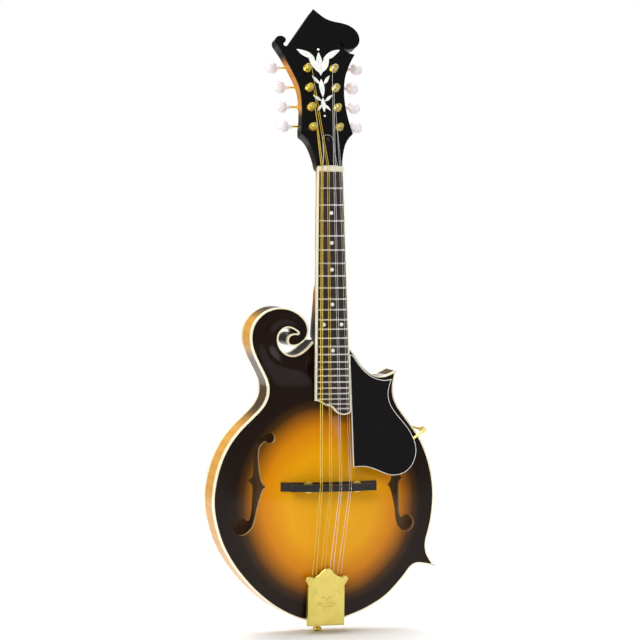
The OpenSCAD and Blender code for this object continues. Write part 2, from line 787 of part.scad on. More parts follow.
module bridge_base()
    color([0.10, 0.08, 0.08])
        on_body()
            difference() {
                translate([0, 0, bridge_z - 5])
                    linear_extrude(height = 10)
                        polygon([[-base_width / 2, -18], [-base_width / 2, -31.5], [-48, -34],
                            [-38, base_top + 1.2], [-34, base_top], [34, base_top], [38, base_top + 1.2],
                            [48, -34], [base_width / 2, -31.5], [base_width / 2, -18], [22, -18],
                            [19, -33.5], [14, -35.5], [-14, -35.5], [-19, -33.5], [-22, -18]]);
                top_blank();
                for (x = [-stud_x, stud_x])
                    bar_y(x, bridge_z, base_top - 1, 6, 1.5);
            }

module bridge_studs()
    color([0.80, 0.68, 0.34])
        on_body()
            for (x = [-stud_x, stud_x])
                bar_y(x, bridge_z, saddle_low - 4, base_top + 5 - (saddle_low - 4), 1.5);

// Knurled thumbwheel on an adjusting stud
module wheel(x)
    color([0.86, 0.74, 0.38])
        on_body()
            difference() {
                union() {
                    bar_y(x, bridge_z, wheel_y - wheel_thick, wheel_thick, 6.2);
                    for (a = [0:15:345])
                        translate([x, 0, bridge_z])
                            rotate([0, a, 0])
                                translate([5.9, wheel_y - wheel_thick, -0.35])
                                    cube([0.65, wheel_thick, 0.7]);
                }
                bar_y(x, bridge_z, wheel_y - wheel_thick - 1, wheel_thick + 2, 1.5 + clear);
            }

module wheel_bass() wheel(-stud_x);
module wheel_treble() wheel(stud_x);

// Part of a string's slot, from z over the given length and so far below the string
module saddle_slot(i, z, length, below)
    translate([saddle_x(i) - string_r[i] * 1.08 - 0.15, saddle_y - 3, bridge_z + z])
        cube([2.16 * string_r[i] + 0.3, 3 + below + string_r[i] * 1.08, length]);

module bridge_saddle()
    color([0.10, 0.08, 0.08])
        on_body()
            difference() {
                translate([0, 0, bridge_z - 3.7])
                    linear_extrude(height = 7.4)
                        polygon([[-saddle_width / 2, -48], [-saddle_width / 2 + 3, saddle_low],
                            [saddle_width / 2 - 3, saddle_low], [saddle_width / 2, -48],
                            [saddle_width / 2 - 1.5, -50], [38, saddle_crest + 3], [25, saddle_crest],
                            [-25, saddle_crest], [-38, saddle_crest + 3], [-saddle_width / 2 + 1.5, -50]]);
                for (x = [-stud_x, stud_x])
                    bar_y(x, bridge_z, saddle_low - 7.5, 8, 1.5 + clear);
                for (i = [0:7]) {
                    saddle_slot(i, -5, 10, 0.14);
                    saddle_slot(i, -5, 4.6, 1.15);
                    saddle_slot(i, 0.4, 4.6, 0.5);
                }
            }

// ---- tailpiece and end pin ----

base_y = -26.2;

module tail_screw_holes()
    for (p = [[-9, -9], [9, -9], [0, 10.5]])
        translate([p[0], p[1], -2]) cylinder(h = 15, r = 1.1);

// Bent base plate: eight hooks over the top and a foot on the body's end
module tailpiece_base()
    color([0.84, 0.72, 0.38])
        on_body()
            difference() {
                union() {
                    translate([-18.5, base_y, -1.2]) cube([37, 1.2, 51]);
                    translate([-14, base_y, -1.2]) cube([28, 15 - base_y, 1.1]);
                    for (i = [0:7]) {
                        translate([hook_x(i) - 0.9, hook_y - 1.2, hook_z - 2.4])
                            cube([1.8, base_y - hook_y + 1.4, 1.5]);
                    }
                }
                translate([0, 0, -5]) cylinder(h = 10, r = pin_r + 0.02);
                tail_screw_holes();
            }

module tailpiece_screws()
    color([0.84, 0.72, 0.38])
        on_body()
            for (p = [[-9, -9], [9, -9], [0, 10.5]])
                translate([p[0], p[1], -1.2]) {
                    cylinder(h = 12, r = 1.08);
                    translate([0, 0, -1.3])
                        difference() {
                            rotate_extrude() polygon([[0, 0], [1.2, 0.1], [2.1, 0.6], [2.3, 1.3], [0, 1.3]]);
                            translate([-0.35, -3, -1]) cube([0.7, 6, 1.6]);
                        }
                }

crown = concat([[cover_half - 0.5, -3]], smooth([[cover_half - 0.5, 0.5], [22.9, 4.5], [25, 8.3], [23.6, 11.6],
    [20.4, 12.7], [17.2, 11.6], [13.5, 12.2], [10.2, 14.4], [6.6, 18], [3, 21], [0, 22]], 3));

// Thin cover that slides off along the strings
module tailpiece_cover()
    color([0.88, 0.78, 0.42])
        on_body() {
            difference() {
                translate([-cover_half, -30.35, -3]) cube([2 * cover_half, 6.2, 43.2]);
                translate([-cover_half + 0.9, -29.45, -2.1]) cube([2 * cover_half - 1.8, 8, 50]);
                translate([-cover_half + 0.9, -26.8, -4]) cube([2 * cover_half - 1.8, 8, 10]);
            }
            translate([0, -30.35, 40.1])
                rotate([10, 0, 0])
                    flat(concat(mirrored(crown), [for (i = [len(crown) - 2:-1:0]) crown[i]]), 0, 0.9);
        }

module end_pin()
    color([0.86, 0.74, 0.40])
        on_body()
            union() {
                translate([0, 0, -11]) cylinder(h = 33, r = pin_r - 0.02);
                translate([0, 0, -2.7]) cylinder(h = 1.45, r = 5);
                translate([0, 0, -13])
                    rotate_extrude()
                        polygon([[0, 0], [3.6, 0], [4.9, 0.9], [5.1, 2.2], [4.6, 3.6], [pin_r - 0.02, 4.7],
                            [0, 4.7]]);
            }

// ---- pickguard ----

guard_y = 1.6;
guard_thick = 2.2;

module pickguard()
    color([0.07, 0.06, 0.06])
        on_body()
            guard_frame()
                flat(inset(guard_outline, 0.7), guard_y, guard_thick);

module pickguard_edge()
    color([0.85, 0.85, 0.83])
        on_body()
            guard_frame()
                difference() {
                    flat(guard_outline, guard_y, guard_thick);
                    flat(inset(guard_outline, 0.7), guard_y - 1, guard_thick + 2);
                }

// The board's plane, with heights measured up the body
module guard_frame() translate([0, nut_y, nut_z]) rotate([-neck_angle, 0, 0]) translate([0, 0, -nut_z]) children();

clamp_x = 112.5;
clamp_z = 214.5;

// Arm under the pickguard, the threaded rod beside the rim, and the foot against the side
module pickguard_bracket()
    color([0.84, 0.72, 0.38])
        on_body() {
            rod([86, -41.2, 199], [clamp_x, -32, clamp_z], 1.3);
            bar_y(clamp_x, clamp_z, -32, 36, 1.4);
            translate([clamp_x, -32, clamp_z]) sphere(r = 2);
            rod([clamp_x, 2, clamp_z], [108.3, 2, 211.5], 1.2);
            rod([108.9, 2, 211.93], [107.9, 2, 211.21], 3);
        }

// Knurled nut that tightens the clamp
module bracket_nut()
    color([0.86, 0.74, 0.38])
        on_body()
            difference() {
                union() {
                    bar_y(clamp_x, clamp_z, -28.5, 4, 3);
                    for (a = [0:20:340])
                        translate([clamp_x, 0, clamp_z])
                            rotate([0, a, 0])
                                translate([2.8, -28.5, -0.3])
                                    cube([0.5, 4, 0.6]);
                }
                bar_y(clamp_x, clamp_z, -30, 7, 1.4 + clear);
            }

module post_1() post(0);
module post_2() post(1);
module post_3() post(2);
module post_4() post(3);
module post_5() post(4);
module post_6() post(5);
module post_7() post(6);
module post_8() post(7);
module worm_1() worm(0);
module worm_2() worm(1);
module worm_3() worm(2);
module worm_4() worm(3);
module worm_5() worm(4);
module worm_6() worm(5);
module worm_7() worm(6);
module worm_8() worm(7);
module button_1() button(0);
module button_2() button(1);
module button_3() button(2);
module button_4() button(3);
module button_5() button(4);
module button_6() button(5);
module button_7() button(6);
module button_8() button(7);

top_plate();
back_plate();
rim();
body_binding();
linings();
body_blocks();
tone_bars();
neck();
head_overlay();
head_inlay();
fretboard();
board_binding();
frets();
fret_dots();
nut();
truss_rod();
truss_rod_nut();
truss_cover();
small_screws();
post_bushings();
tuner_plates();
bridge_base();
bridge_studs();
wheel_bass();
wheel_treble();
bridge_saddle();
wound_strings();
plain_strings();
tailpiece_base();
tailpiece_cover();
tailpiece_screws();
end_pin();
pickguard();
pickguard_edge();
pickguard_bracket();
bracket_nut();
post_1();
post_2();
post_3();
post_4();
post_5();
post_6();
post_7();
post_8();
worm_1();
worm_2();
worm_3();
worm_4();
worm_5();
worm_6();
worm_7();
worm_8();
button_1();
button_2();
button_3();
button_4();
button_5();
button_6();
button_7();
button_8();
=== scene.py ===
import bpy
import bmesh
import math
import numpy as np
from mathutils import Vector, Matrix
from mathutils.geometry import delaunay_2d_cdt


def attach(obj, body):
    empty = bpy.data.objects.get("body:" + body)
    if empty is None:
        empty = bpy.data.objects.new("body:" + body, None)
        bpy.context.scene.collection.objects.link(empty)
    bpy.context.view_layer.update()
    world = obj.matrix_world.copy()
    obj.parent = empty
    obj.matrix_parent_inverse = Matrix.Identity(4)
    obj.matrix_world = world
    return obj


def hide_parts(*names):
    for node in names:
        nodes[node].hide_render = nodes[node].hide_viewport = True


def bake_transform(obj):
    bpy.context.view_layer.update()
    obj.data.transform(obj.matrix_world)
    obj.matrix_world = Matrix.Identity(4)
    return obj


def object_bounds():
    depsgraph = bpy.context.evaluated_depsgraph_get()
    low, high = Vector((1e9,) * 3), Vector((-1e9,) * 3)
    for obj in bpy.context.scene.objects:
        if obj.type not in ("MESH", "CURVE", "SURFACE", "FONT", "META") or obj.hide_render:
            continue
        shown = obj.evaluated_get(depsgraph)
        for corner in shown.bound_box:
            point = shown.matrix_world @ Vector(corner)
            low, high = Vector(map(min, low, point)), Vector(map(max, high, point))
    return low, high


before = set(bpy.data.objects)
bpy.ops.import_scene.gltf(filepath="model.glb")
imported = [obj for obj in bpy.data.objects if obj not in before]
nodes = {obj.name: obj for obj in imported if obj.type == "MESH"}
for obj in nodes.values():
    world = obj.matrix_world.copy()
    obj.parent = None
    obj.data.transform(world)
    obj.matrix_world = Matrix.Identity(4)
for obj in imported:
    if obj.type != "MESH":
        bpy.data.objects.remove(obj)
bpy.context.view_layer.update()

# ------------------------------------------------------------------ frame, in millimetres as in part.scad

MM = 0.001
TAIL_Z = 5.5
RIM = 36.3
Y_FRONT, Y_BACK = -RIM / 2, RIM / 2
NUT_Y, NUT_Z = -21.25, 504.4
NECK_A = math.radians(4.72)
HEAD_A = math.radians(4.72 + 14.3)
HEAD_Y = NUT_Y + 3.34 * math.cos(NECK_A) + 3.29 * math.sin(NECK_A)
HEAD_Z = NUT_Z - 3.34 * math.sin(NECK_A) + 3.29 * math.cos(NECK_A)
BOARD = 5.5
OVERLAY = 2.0
SCREW_REACH = 4.0       # a small screw nearer the centre line than this holds the truss rod cover
NECK_VOXEL = 1.0        # grid that the neck is carved on
CARVE_PASSES, HEEL_PASSES = 14, 50
FLOOR_GAP = 0.0005      # metres below the lowest point of the object


def body_pt(x, y, z):
    return Vector((x, y, z + TAIL_Z)) * MM


def neck_pt(x, y, z):
    c, s = math.cos(NECK_A), math.sin(NECK_A)
    return body_pt(x, NUT_Y + y * c + z * s, NUT_Z - y * s + z * c)


def head_pt(x, y, z):
    c, s = math.cos(HEAD_A), math.sin(HEAD_A)
    return body_pt(x, HEAD_Y + y * c + z * s, HEAD_Z - y * s + z * c)


def smooth(pts, n):
    """A smooth open run through control points, n steps between neighbours."""
    p = [np.array(q, float) for q in pts]
    out = []
    for i in range(len(p) - 1):
        a, b, c, d = p[max(i - 1, 0)], p[i], p[i + 1], p[min(i + 2, len(p) - 1)]
        for k in range(n):
            t = k / n
            out.append(0.5 * (2 * b + (c - a) * t + (2 * a - 5 * b + 4 * c - d) * t * t
                              + (3 * b - a - 3 * c + d) * t ** 3))
    return out + [p[-1]]


def inset(pts, d):
    """A clockwise outline moved inwards by d, with mitred corners."""
    p = np.array(pts, float)
    u = p - np.roll(p, 1, 0)
    v = np.roll(p, -1, 0) - p
    u /= np.linalg.norm(u, axis=1)[:, None]
    v /= np.linalg.norm(v, axis=1)[:, None]
    a = np.stack([u[:, 1], -u[:, 0]], 1)
    b = np.stack([v[:, 1], -v[:, 0]], 1)
    return p + d * (a + b) / (1 + (a * b).sum(1))[:, None]


def inside(poly, pts):
    """Whether each point lies inside the polygon."""
    poly, pts = np.array(poly), np.array(pts)
    x, y = pts[:, 0][:, None], pts[:, 1][:, None]
    x0, y0 = poly[:, 0], poly[:, 1]
    x1, y1 = np.roll(x0, -1), np.roll(y0, -1)
    dy = np.where(y1 == y0, 1e-12, y1 - y0)
    hit = ((y0 > y) != (y1 > y)) & (x < (x1 - x0) * (y - y0) / dy + x0)
    return hit.sum(1) % 2 == 1


def distance(poly, pts, closed=True):
    """Distance from each point to the polygon's line."""
    a = np.array(poly, float)
    b = np.roll(a, -1, 0)
    if not closed:
        a, b = a[:-1], b[:-1]
    best = np.full(len(pts), 1e9)
    for k in range(0, len(pts), 2000):
        q = np.array(pts[k:k + 2000], float)[:, None, :]
        t = np.clip(((q - a) * (b - a)).sum(2) / ((b - a) ** 2).sum(1), 0, 1)
        best[k:k + 2000] = np.linalg.norm(q - (a + t[..., None] * (b - a)), axis=2).min(1)
    return best


def step(x, a, b):
    t = np.clip((x - a) / (b - a), 0, 1)
    return t * t * (3 - 2 * t)


BASS = [(133.4, 58.4), (123, 60.5), (112, 61.6), (104.6, 58), (97.4, 49), (87.7, 38), (74.5, 25.7), (60, 16.7),
        (43, 8.8), (22, 2.4), (0, 0), (-21.6, 2.1), (-39.3, 8.5), (-59, 19.6), (-78.7, 35.3), (-96.4, 54),
        (-109.3, 71.5), (-118.6, 88.3), (-125.4, 107), (-129.4, 125), (-130.4, 140), (-129, 155), (-125.6, 171),
        (-119.7, 187.5), (-111.2, 203), (-100.5, 216.5), (-87.5, 229), (-75.5, 241), (-69.7, 251.5), (-68.4, 261),
        (-70, 270), (-74.1, 279), (-79.5, 289), (-84.5, 299), (-88.2, 309.5), (-89.3, 319.5), (-88.2, 328),
        (-85.2, 335.2), (-80.6, 341.3), (-74.6, 346.3), (-67.4, 349.9), (-59.4, 351.7), (-51.1, 351.7),
        (-43.5, 350.1), (-36.8, 347.2), (-30.8, 343), (-26.1, 338), (-23.3, 332.5), (-22.2, 327), (-22.8, 321.5),
        (-25, 317), (-28.5, 313.4), (-33, 310.6), (-38, 309.2), (-42.5, 309.4), (-45.6, 311.5), (-46.7, 315.2),
        (-45.6, 319.2), (-42.7, 322), (-38.2, 323.2), (-34.6, 322.9), (-34.2, 324.3), (-37, 326.3), (-41, 328.4),
        (-45.8, 329.6), (-50.4, 328.5), (-54.2, 325.7), (-56.7, 322), (-57.6, 317.2), (-56.8, 311.6),
        (-54.2, 306.4), (-50.2, 302.2), (-45.1, 299.4), (-39.3, 298.6), (-33, 300.2), (-27.2, 303.7),
        (-21.5, 308.5), (-16.7, 314)]
CUTAWAY = [(17.5, 314), (19.6, 309.5), (24, 306.4), (30.2, 302), (35, 295), (41.1, 287), (47.4, 281.2), (54.1, 277),
           (60.1, 275), (66, 274.6), (73, 276.2), (82.5, 280.5)]
TREBLE = [(82.5, 280.5), (80.9, 272), (79.6, 264.5), (79.5, 257), (81.1, 249.3), (84.7, 241.6), (89.9, 234.4),
          (96, 226.6), (103.5, 217), (112, 205), (119.2, 191), (124.4, 177), (127.9, 163), (130, 150), (130.6, 137),
          (129.9, 123), (128, 109), (125.2, 97), (122.9, 88), (122.6, 80), (124.9, 71.5), (133.4, 58.4)]


def body_outline(n):
    return np.array(smooth(BASS, n) + smooth(CUTAWAY, n) + smooth(TREBLE[1:], n)[:-1])


OUTLINE = body_outline(6)
PLATE = inset(OUTLINE, 1.6)
# The main bouts, closed across the scroll and without the two points
BOUT = np.array([p for p in body_outline(3)
                 if p[1] < 296 and not (p[0] > 118 and 50 < p[1] < 78) and not (p[0] > 70 and p[1] > 266)])
top = [i for i, p in enumerate(BOUT) if p[1] > 290 and p[0] < 0]
BOUT = np.insert(BOUT, top[-1] + 1, [(-70, 312), (-40, 322), (0, 326), (24, 316), (30, 302)], axis=0)

# Treble side sound hole: the slot with its two nicks, and its eyes, as in part.scad
SLOT = (smooth([[70.5, 211], [75, 209.4], [79.4, 204.8], [82.4, 198.5], [84.4, 188.7], [85.3, 178.9],
                [86, 167], [88, 163]], 6)
        + smooth([[91.6, 160.5], [88, 157.5], [86.5, 152.5], [86.8, 143], [87.4, 128], [88.8, 119], [93, 112]], 6)
        + smooth([[90, 103.5], [86.2, 106.5], [83.2, 115], [81.8, 124.2], [79.6, 134], [76.6, 144.5],
                  [74.4, 150.5]], 6)
        + smooth([[71.6, 153.3], [74.9, 156.6], [77.2, 163.5], [78.7, 174], [79.3, 184], [79, 192], [77.2, 198],
                  [73.5, 202], [69, 204]], 6))


def circle(x, z, r, n=40):
    return np.array([(x + r * math.cos(a), z + r * math.sin(a)) for a in np.linspace(0, 2 * math.pi, n, False)])


TREBLE_HOLE = [np.array(SLOT), circle(66, 207.2, 5.7), circle(97.2, 108.8, 9.6)]
HOLES = TREBLE_HOLE + [h * (-1, 1) for h in TREBLE_HOLE]

# Headstock outline in its own plane, clockwise from the nut
HEAD = np.array(
    smooth([[-14.9, 0], [-15.4, 7], [-16.9, 15], [-19.6, 24.5], [-23.8, 33], [-30, 39.3]], 5)[:-1]
    + smooth([[-30, 39.3], [-29.2, 46.9], [-27.4, 56], [-26, 66], [-25.4, 76], [-25.3, 84], [-26, 92],
              [-28.2, 101], [-31.8, 110.5], [-36.4, 121], [-41.2, 131.5], [-46, 140.3], [-49.6, 146.3],
              [-49.2, 151], [-46, 153.8], [-42, 154.3], [-38.6, 152.8], [-37.1, 150], [-38.2, 147.4],
              [-40.3, 145.4], [-40.2, 143.2], [-38, 142.2]], 5)
    + [(-35.7, 142.7)]
    + smooth([[-1.3, 187.2], [5.2, 181.6], [10.2, 177.6], [16, 174.6], [23.3, 172.6], [31, 171.2],
              [38.2, 169.1], [44, 165.8], [48.1, 161.4], [50.3, 156.2], [50.5, 150.9], [48.8, 146.2],
              [45, 142.4], [40.4, 140.4], [35.8, 141.2], [31.6, 144.2], [29, 148.2], [28.2, 152.2],
              [26.9, 151.9], [27.2, 147], [29.3, 142], [32.8, 138], [37, 135.4], [43, 133.9]], 5)
    + smooth([[38.6, 127], [34, 118.6], [29.7, 108.6], [27, 98], [25.7, 87], [25.6, 76],
              [26.4, 65.7], [28.3, 53], [31.4, 39.9]], 5)[:-1]
    + smooth([[31.4, 39.9], [25.2, 33.6], [20.6, 26], [17.5, 16.5], [15.6, 7.5], [14.9, 0]], 5))

POST_S = [47, 70, 93, 116]
POST_X = 15.6
BRIDGE_Z, SADDLE_Y = 153.8, -54.85


# ------------------------------------------------------------------ mesh helpers

def new_object(name, verts, faces, shade=True):
    mesh = bpy.data.meshes.new(name)
    mesh.from_pydata([tuple(v) for v in verts], [], faces)
    mesh.update()
    obj = bpy.data.objects.new(name, mesh)
    bpy.context.scene.collection.objects.link(obj)
    if shade:
        mesh.polygons.foreach_set("use_smooth", [True] * len(mesh.polygons))
    return obj


def bevel(obj, width, segments=3, angle=35):
    m = obj.modifiers.new("edge", "BEVEL")
    m.width = width * MM
    m.segments = segments
    m.limit_method = "ANGLE"
    m.angle_limit = math.radians(angle)
    m.harden_normals = False
    return m


def sharp(obj, angle=32):
    """Smooth shading that keeps edges over the angle sharp."""
    mesh = obj.data
    mesh.polygons.foreach_set("use_smooth", [True] * len(mesh.polygons))
    bm = bmesh.new()
    bm.from_mesh(mesh)
    for e in bm.edges:
        if len(e.link_faces) == 2:
            e.smooth = e.calc_face_angle(0) < math.radians(angle)
    bm.to_mesh(mesh)
    bm.free()


def sheet_mesh(outer, holes, spacing, edge_gap=0.8, inverted=False):
    """Triangles over a flat outline with holes, which may overlap: a grid inside, the true line at each edge.
    Inverted, it keeps only what lies inside the holes."""
    outer = np.array(outer)
    lo, hi = outer.min(0), outer.max(0)
    xs = np.arange(lo[0] + spacing / 2, hi[0], spacing)
    zs = np.arange(lo[1] + spacing / 2, hi[1], spacing)
    grid = [(x + (spacing / 2 if i % 2 else 0), z) for i, z in enumerate(zs) for x in xs]
    grid = np.array(grid or [hi + spacing])
    keep = inside(outer, grid) & (distance(outer, grid) > spacing * edge_gap)
    for h in holes:
        keep &= ~inside(h, grid)
        keep &= distance(h, grid) > spacing * 0.5
    pts = [tuple(p) for p in outer]
    edges = [(i, (i + 1) % len(outer)) for i in range(len(outer))]
    for h in holes:
        k = len(pts)
        pts += [tuple(p) for p in h]
        edges += [(k + i, k + (i + 1) % len(h)) for i in range(len(h))]
    pts += [tuple(p) for p in grid[keep]]
    v, _, f, _, _, _ = delaunay_2d_cdt([Vector(p) for p in pts], edges, [], 0, 1e-4)
    v = np.array([tuple(p) for p in v])
    mid = np.array([v[list(t)].mean(0) for t in f])
    in_hole = np.zeros(len(mid), bool)
    for h in holes:
        in_hole |= inside(h, mid)
    good = in_hole if inverted else inside(outer, mid) & ~in_hole
    return v, [tuple(t) for t, ok in zip(f, good) if ok]


def ring(name, outer, inner, y0, y1):
    """A closed band between two outlines, from y0 to y1."""
    n = len(outer)
    verts = []
    for pts, y in ((outer, y0), (outer, y1), (inner, y1), (inner, y0)):
        verts += [body_pt(p[0], y, p[1]) for p in pts]
    faces = []
    for a in range(4):
        b = (a + 1) % 4
        for i in range(n):
            j = (i + 1) % n
            faces.append((a * n + i, a * n + j, b * n + j, b * n + i))
    return new_object(name, verts, faces)


def tube(points, r, segs=10, caps=True):
    """Vertices and faces of a round tube along points, in metres; r may be a list."""
    pts = [Vector(p) for p in points]
    rs = r if isinstance(r, (list, tuple, np.ndarray)) else [r] * len(pts)
    verts, faces = [], []
    side = None
    for i, p in enumerate(pts):
        t = (pts[min(i + 1, len(pts) - 1)] - pts[max(i - 1, 0)]).normalized()
        if side is None:
            side = t.cross(Vector((0, 1, 0)))
            if side.length < 0.1:
                side = t.cross(Vector((1, 0, 0)))
        side = (side - t * side.dot(t)).normalized()
        up = t.cross(side)
        for k in range(segs):
            a = 2 * math.pi * k / segs
            verts.append(p + (side * math.cos(a) + up * math.sin(a)) * rs[i])
    for i in range(len(pts) - 1):
        for k in range(segs):
            j = (k + 1) % segs
            faces.append((i * segs + k, i * segs + j, (i + 1) * segs + j, (i + 1) * segs + k))
    if caps:
        faces.append(tuple(range(segs)))
        faces.append(tuple(range(len(verts) - segs, len(verts))))
    return verts, faces


def joined(name, parts):
    verts, faces = [], []
    for v, f in parts:
        k = len(verts)
        verts += list(v)
        faces += [tuple(i + k for i in q) for q in f]
    return new_object(name, verts, faces)


def thick_sheet(name, flat_mesh, front, back, place=body_pt):
    """A closed sheet over flat triangles; its faces are numbered front 0, back 1, edge 2."""
    pts, tris = flat_mesh
    used = sorted({i for t in tris for i in t})
    new = {old: k for k, old in enumerate(used)}
    pts = np.array([pts[i] for i in used])
    turned = []
    for t in tris:
        a, b, c = (new[i] for i in t)
        area = np.cross(pts[b] - pts[a], pts[c] - pts[a])
        turned.append((a, b, c) if area > 0 else (a, c, b))
    sides = {(t[i], t[(i + 1) % 3]) for t in turned for i in range(3)}
    rim = [(a, b) for a, b in sides if (b, a) not in sides]
    rim.sort()
    n = len(pts)
    yf, yb = front(pts), back(pts)
    verts = [place(p[0], y, p[1]) for p, y in zip(pts, yf)] + [place(p[0], y, p[1]) for p, y in zip(pts, yb)]
    faces = list(turned) + [(a + n, c + n, b + n) for a, b, c in turned] + [(a, b, b + n, a + n) for a, b in rim]
    obj = new_object(name, verts, faces)
    index = [0] * len(turned) + [1] * len(turned) + [2] * len(rim)
    obj.data.polygons.foreach_set("material_index", index)
    return obj


# ------------------------------------------------------------------ materials

def srgb(r, g, b):
    return tuple(((c / 255 + 0.055) / 1.055) ** 2.4 if c > 10 else c / 255 / 12.92 for c in (r, g, b)) + (1.0,)


class Surface:
    """A node material on the object's own rest coordinates, in metres."""

    def __init__(self, name, **sockets):
        self.mat = bpy.data.materials.new(name)
        self.mat.use_nodes = True
        self.tree = self.mat.node_tree
        self.bsdf = next(n for n in self.tree.nodes if n.type == "BSDF_PRINCIPLED")
        for key, value in sockets.items():
            self.bsdf.inputs[key.replace("_", " ").title().replace("Ior", "IOR")].default_value = value
        self.place = self.add("ShaderNodeTexCoord").outputs["Object"]
        split = self.add("ShaderNodeSeparateXYZ", self.place)
        self.x, self.y, self.z = split.outputs

    def put(self, socket, value):
        if hasattr(value, "is_linked"):
            self.tree.links.new(value, socket)
        else:
            socket.default_value = value

    def add(self, kind, *values, **props):
        node = self.tree.nodes.new(kind)
        for k, v in props.items():
            setattr(node, k, v)
        for i, v in enumerate(values):
            if v is not None:
                self.put(node.inputs[i], v)
        return node

    def math(self, op, a, b=0.0, clamp=False):
        return self.add("ShaderNodeMath", a, b, operation=op, use_clamp=clamp).outputs[0]

    def mix(self, factor, a, b, blend="MIX"):
        node = self.add("ShaderNodeMix", data_type="RGBA", blend_type=blend)
        for key, v in ((0, factor), (6, a), (7, b)):
            self.put(node.inputs[key], v)
        return node.outputs[2]

    def ramp(self, factor, stops):
        node = self.add("ShaderNodeValToRGB", factor)
        e = node.color_ramp.elements
        while len(e) < len(stops):
            e.new(0.5)
        for k, (at, colour) in enumerate(stops):
            e[k].position = at
            e[k].color = colour
        return node.outputs[0]

    def rise(self, value, low, high):
        """0 below low, 1 above high, smooth between."""
        node = self.add("ShaderNodeMapRange", value, low, high, 0.0, 1.0, interpolation_type="SMOOTHSTEP")
        return node.outputs[0]

    def stretched(self, scale):
        return self.add("ShaderNodeMapping", self.place, None, None, scale).outputs[0]

    def noise(self, scale, detail=3.0, rough=0.5, stretch=(1, 1, 1)):
        node = self.add("ShaderNodeTexNoise", self.stretched(stretch))
        node.inputs["Scale"].default_value = scale
        node.inputs["Detail"].default_value = detail
        node.inputs["Roughness"].default_value = rough
        return node.outputs["Fac"]

    def wave(self, scale, axis, distortion=1.0, detail=2.0, detail_scale=1.0, stretch=(1, 1, 1)):
        node = self.add("ShaderNodeTexWave", self.stretched(stretch), bands_direction=axis)
        node.inputs["Scale"].default_value = scale
        node.inputs["Distortion"].default_value = distortion
        node.inputs["Detail"].default_value = detail
        node.inputs["Detail Scale"].default_value = detail_scale
        return node.outputs["Fac"]

    def bump(self, height, distance, strength=1.0):
        node = self.add("ShaderNodeBump")
        node.inputs["Strength"].default_value = strength
        node.inputs["Distance"].default_value = distance * MM
        self.put(node.inputs["Height"], height)
        self.put(self.bsdf.inputs["Normal"], node.outputs[0])
        return self

    def colour(self, value):
        self.put(self.bsdf.inputs["Base Color"], value)
        return self

    def rough(self, value, low, high):
        self.put(self.bsdf.inputs["Roughness"],
                 self.add("ShaderNodeMapRange", value, 0.0, 1.0, low, high).outputs[0])
        return self


LACQUER = dict(coat_weight=0.26, coat_roughness=0.12, specular_ior_level=0.05)


def burst_radius(s, cx, cz, wx, wz):
    """Distance from the burst's centre over its half widths."""
    u = s.math("DIVIDE", s.math("SUBTRACT", s.x, cx * MM), wx * MM)
    v = s.math("DIVIDE", s.math("SUBTRACT", s.z, (cz + TAIL_Z) * MM), wz * MM)
    r = s.math("SQRT", s.math("ADD", s.math("MULTIPLY", u, u), s.math("MULTIPLY", v, v)))
    wander = s.math("MULTIPLY", s.math("SUBTRACT", s.noise(14, 2), 0.5), 0.05)
    return s.math("ADD", r, wander)


def top_finish():
    s = Surface("top_sunburst", **LACQUER)
    r = burst_radius(s, 4, 135, 104, 113)
    base = s.ramp(s.math("MULTIPLY", r, 0.8), [
        (0.0, srgb(236, 172, 6)), (0.40, srgb(230, 160, 3)), (0.60, srgb(206, 126, 2)),
        (0.71, srgb(140, 84, 8)), (0.775, srgb(64, 40, 12)), (0.84, srgb(16, 13, 10)), (1.0, srgb(10, 9, 8))])
    grain = s.wave(150, "X", 1.2, 2, 6, (1, 1, 0.06))
    streak = s.noise(160, 4, 0.6, (1, 1, 0.03))
    base = s.mix(s.math("MULTIPLY", grain, 0.16), base, s.mix(0.5, base, srgb(120, 60, 10)), "MIX")
    base = s.mix(s.math("MULTIPLY", streak, 0.12), base, srgb(190, 140, 60), "MULTIPLY")
    s.colour(base).rough(s.noise(60), 0.24, 0.34)
    return s.bump(s.math("ADD", s.math("MULTIPLY", grain, 0.5), streak), 0.03, 0.2).mat


def flamed(name, centre, edge_dark, flame_axis="Z"):
    """Flamed maple whose colour comes from the given node, with bright cross stripes."""
    s = Surface(name, **LACQUER)
    stripes = s.wave(26, flame_axis, 3.2, 3, 2.5, (0.7, 1, 1))
    fine = s.noise(300, 4, 0.6, (1, 1, 0.05))
    tone = s.mix(s.math("MULTIPLY", stripes, 0.4), centre, s.mix(0.3, centre, srgb(250, 214, 140)))
    tone = s.mix(s.math("MULTIPLY", fine, 0.3), tone, s.mix(0.5, tone, srgb(90, 50, 20)))
    return s, tone, stripes, edge_dark


def back_finish():
    s, tone, stripes, _ = flamed("back_flame", srgb(186, 112, 36), None)
    r = burst_radius(s, 0, 140, 106, 112)
    dark = s.rise(r, 0.62, 1.1)
    s.colour(s.mix(dark, tone, srgb(34, 24, 20))).rough(s.noise(50), 0.22, 0.32)
    return s.bump(stripes, 0.04, 0.15).mat


def rim_finish():
    s, tone, stripes, _ = flamed("rim_flame", srgb(208, 150, 56), None)
    waist = s.math("MULTIPLY", s.rise(s.z, 0.222, 0.246), s.rise(s.z, 0.318, 0.297))
    top = s.rise(s.z, 0.340, 0.358)
    slot = s.math("MULTIPLY", s.rise(s.z, 0.285, 0.300), s.rise(s.x, -0.066, -0.058))
    dark = s.math("MAXIMUM", s.math("MULTIPLY", waist, 0.9), s.math("MAXIMUM", top, slot), True)
    s.colour(s.mix(dark, tone, srgb(26, 16, 11))).rough(s.noise(50), 0.22, 0.32)
    return s.bump(stripes, 0.04, 0.15).mat


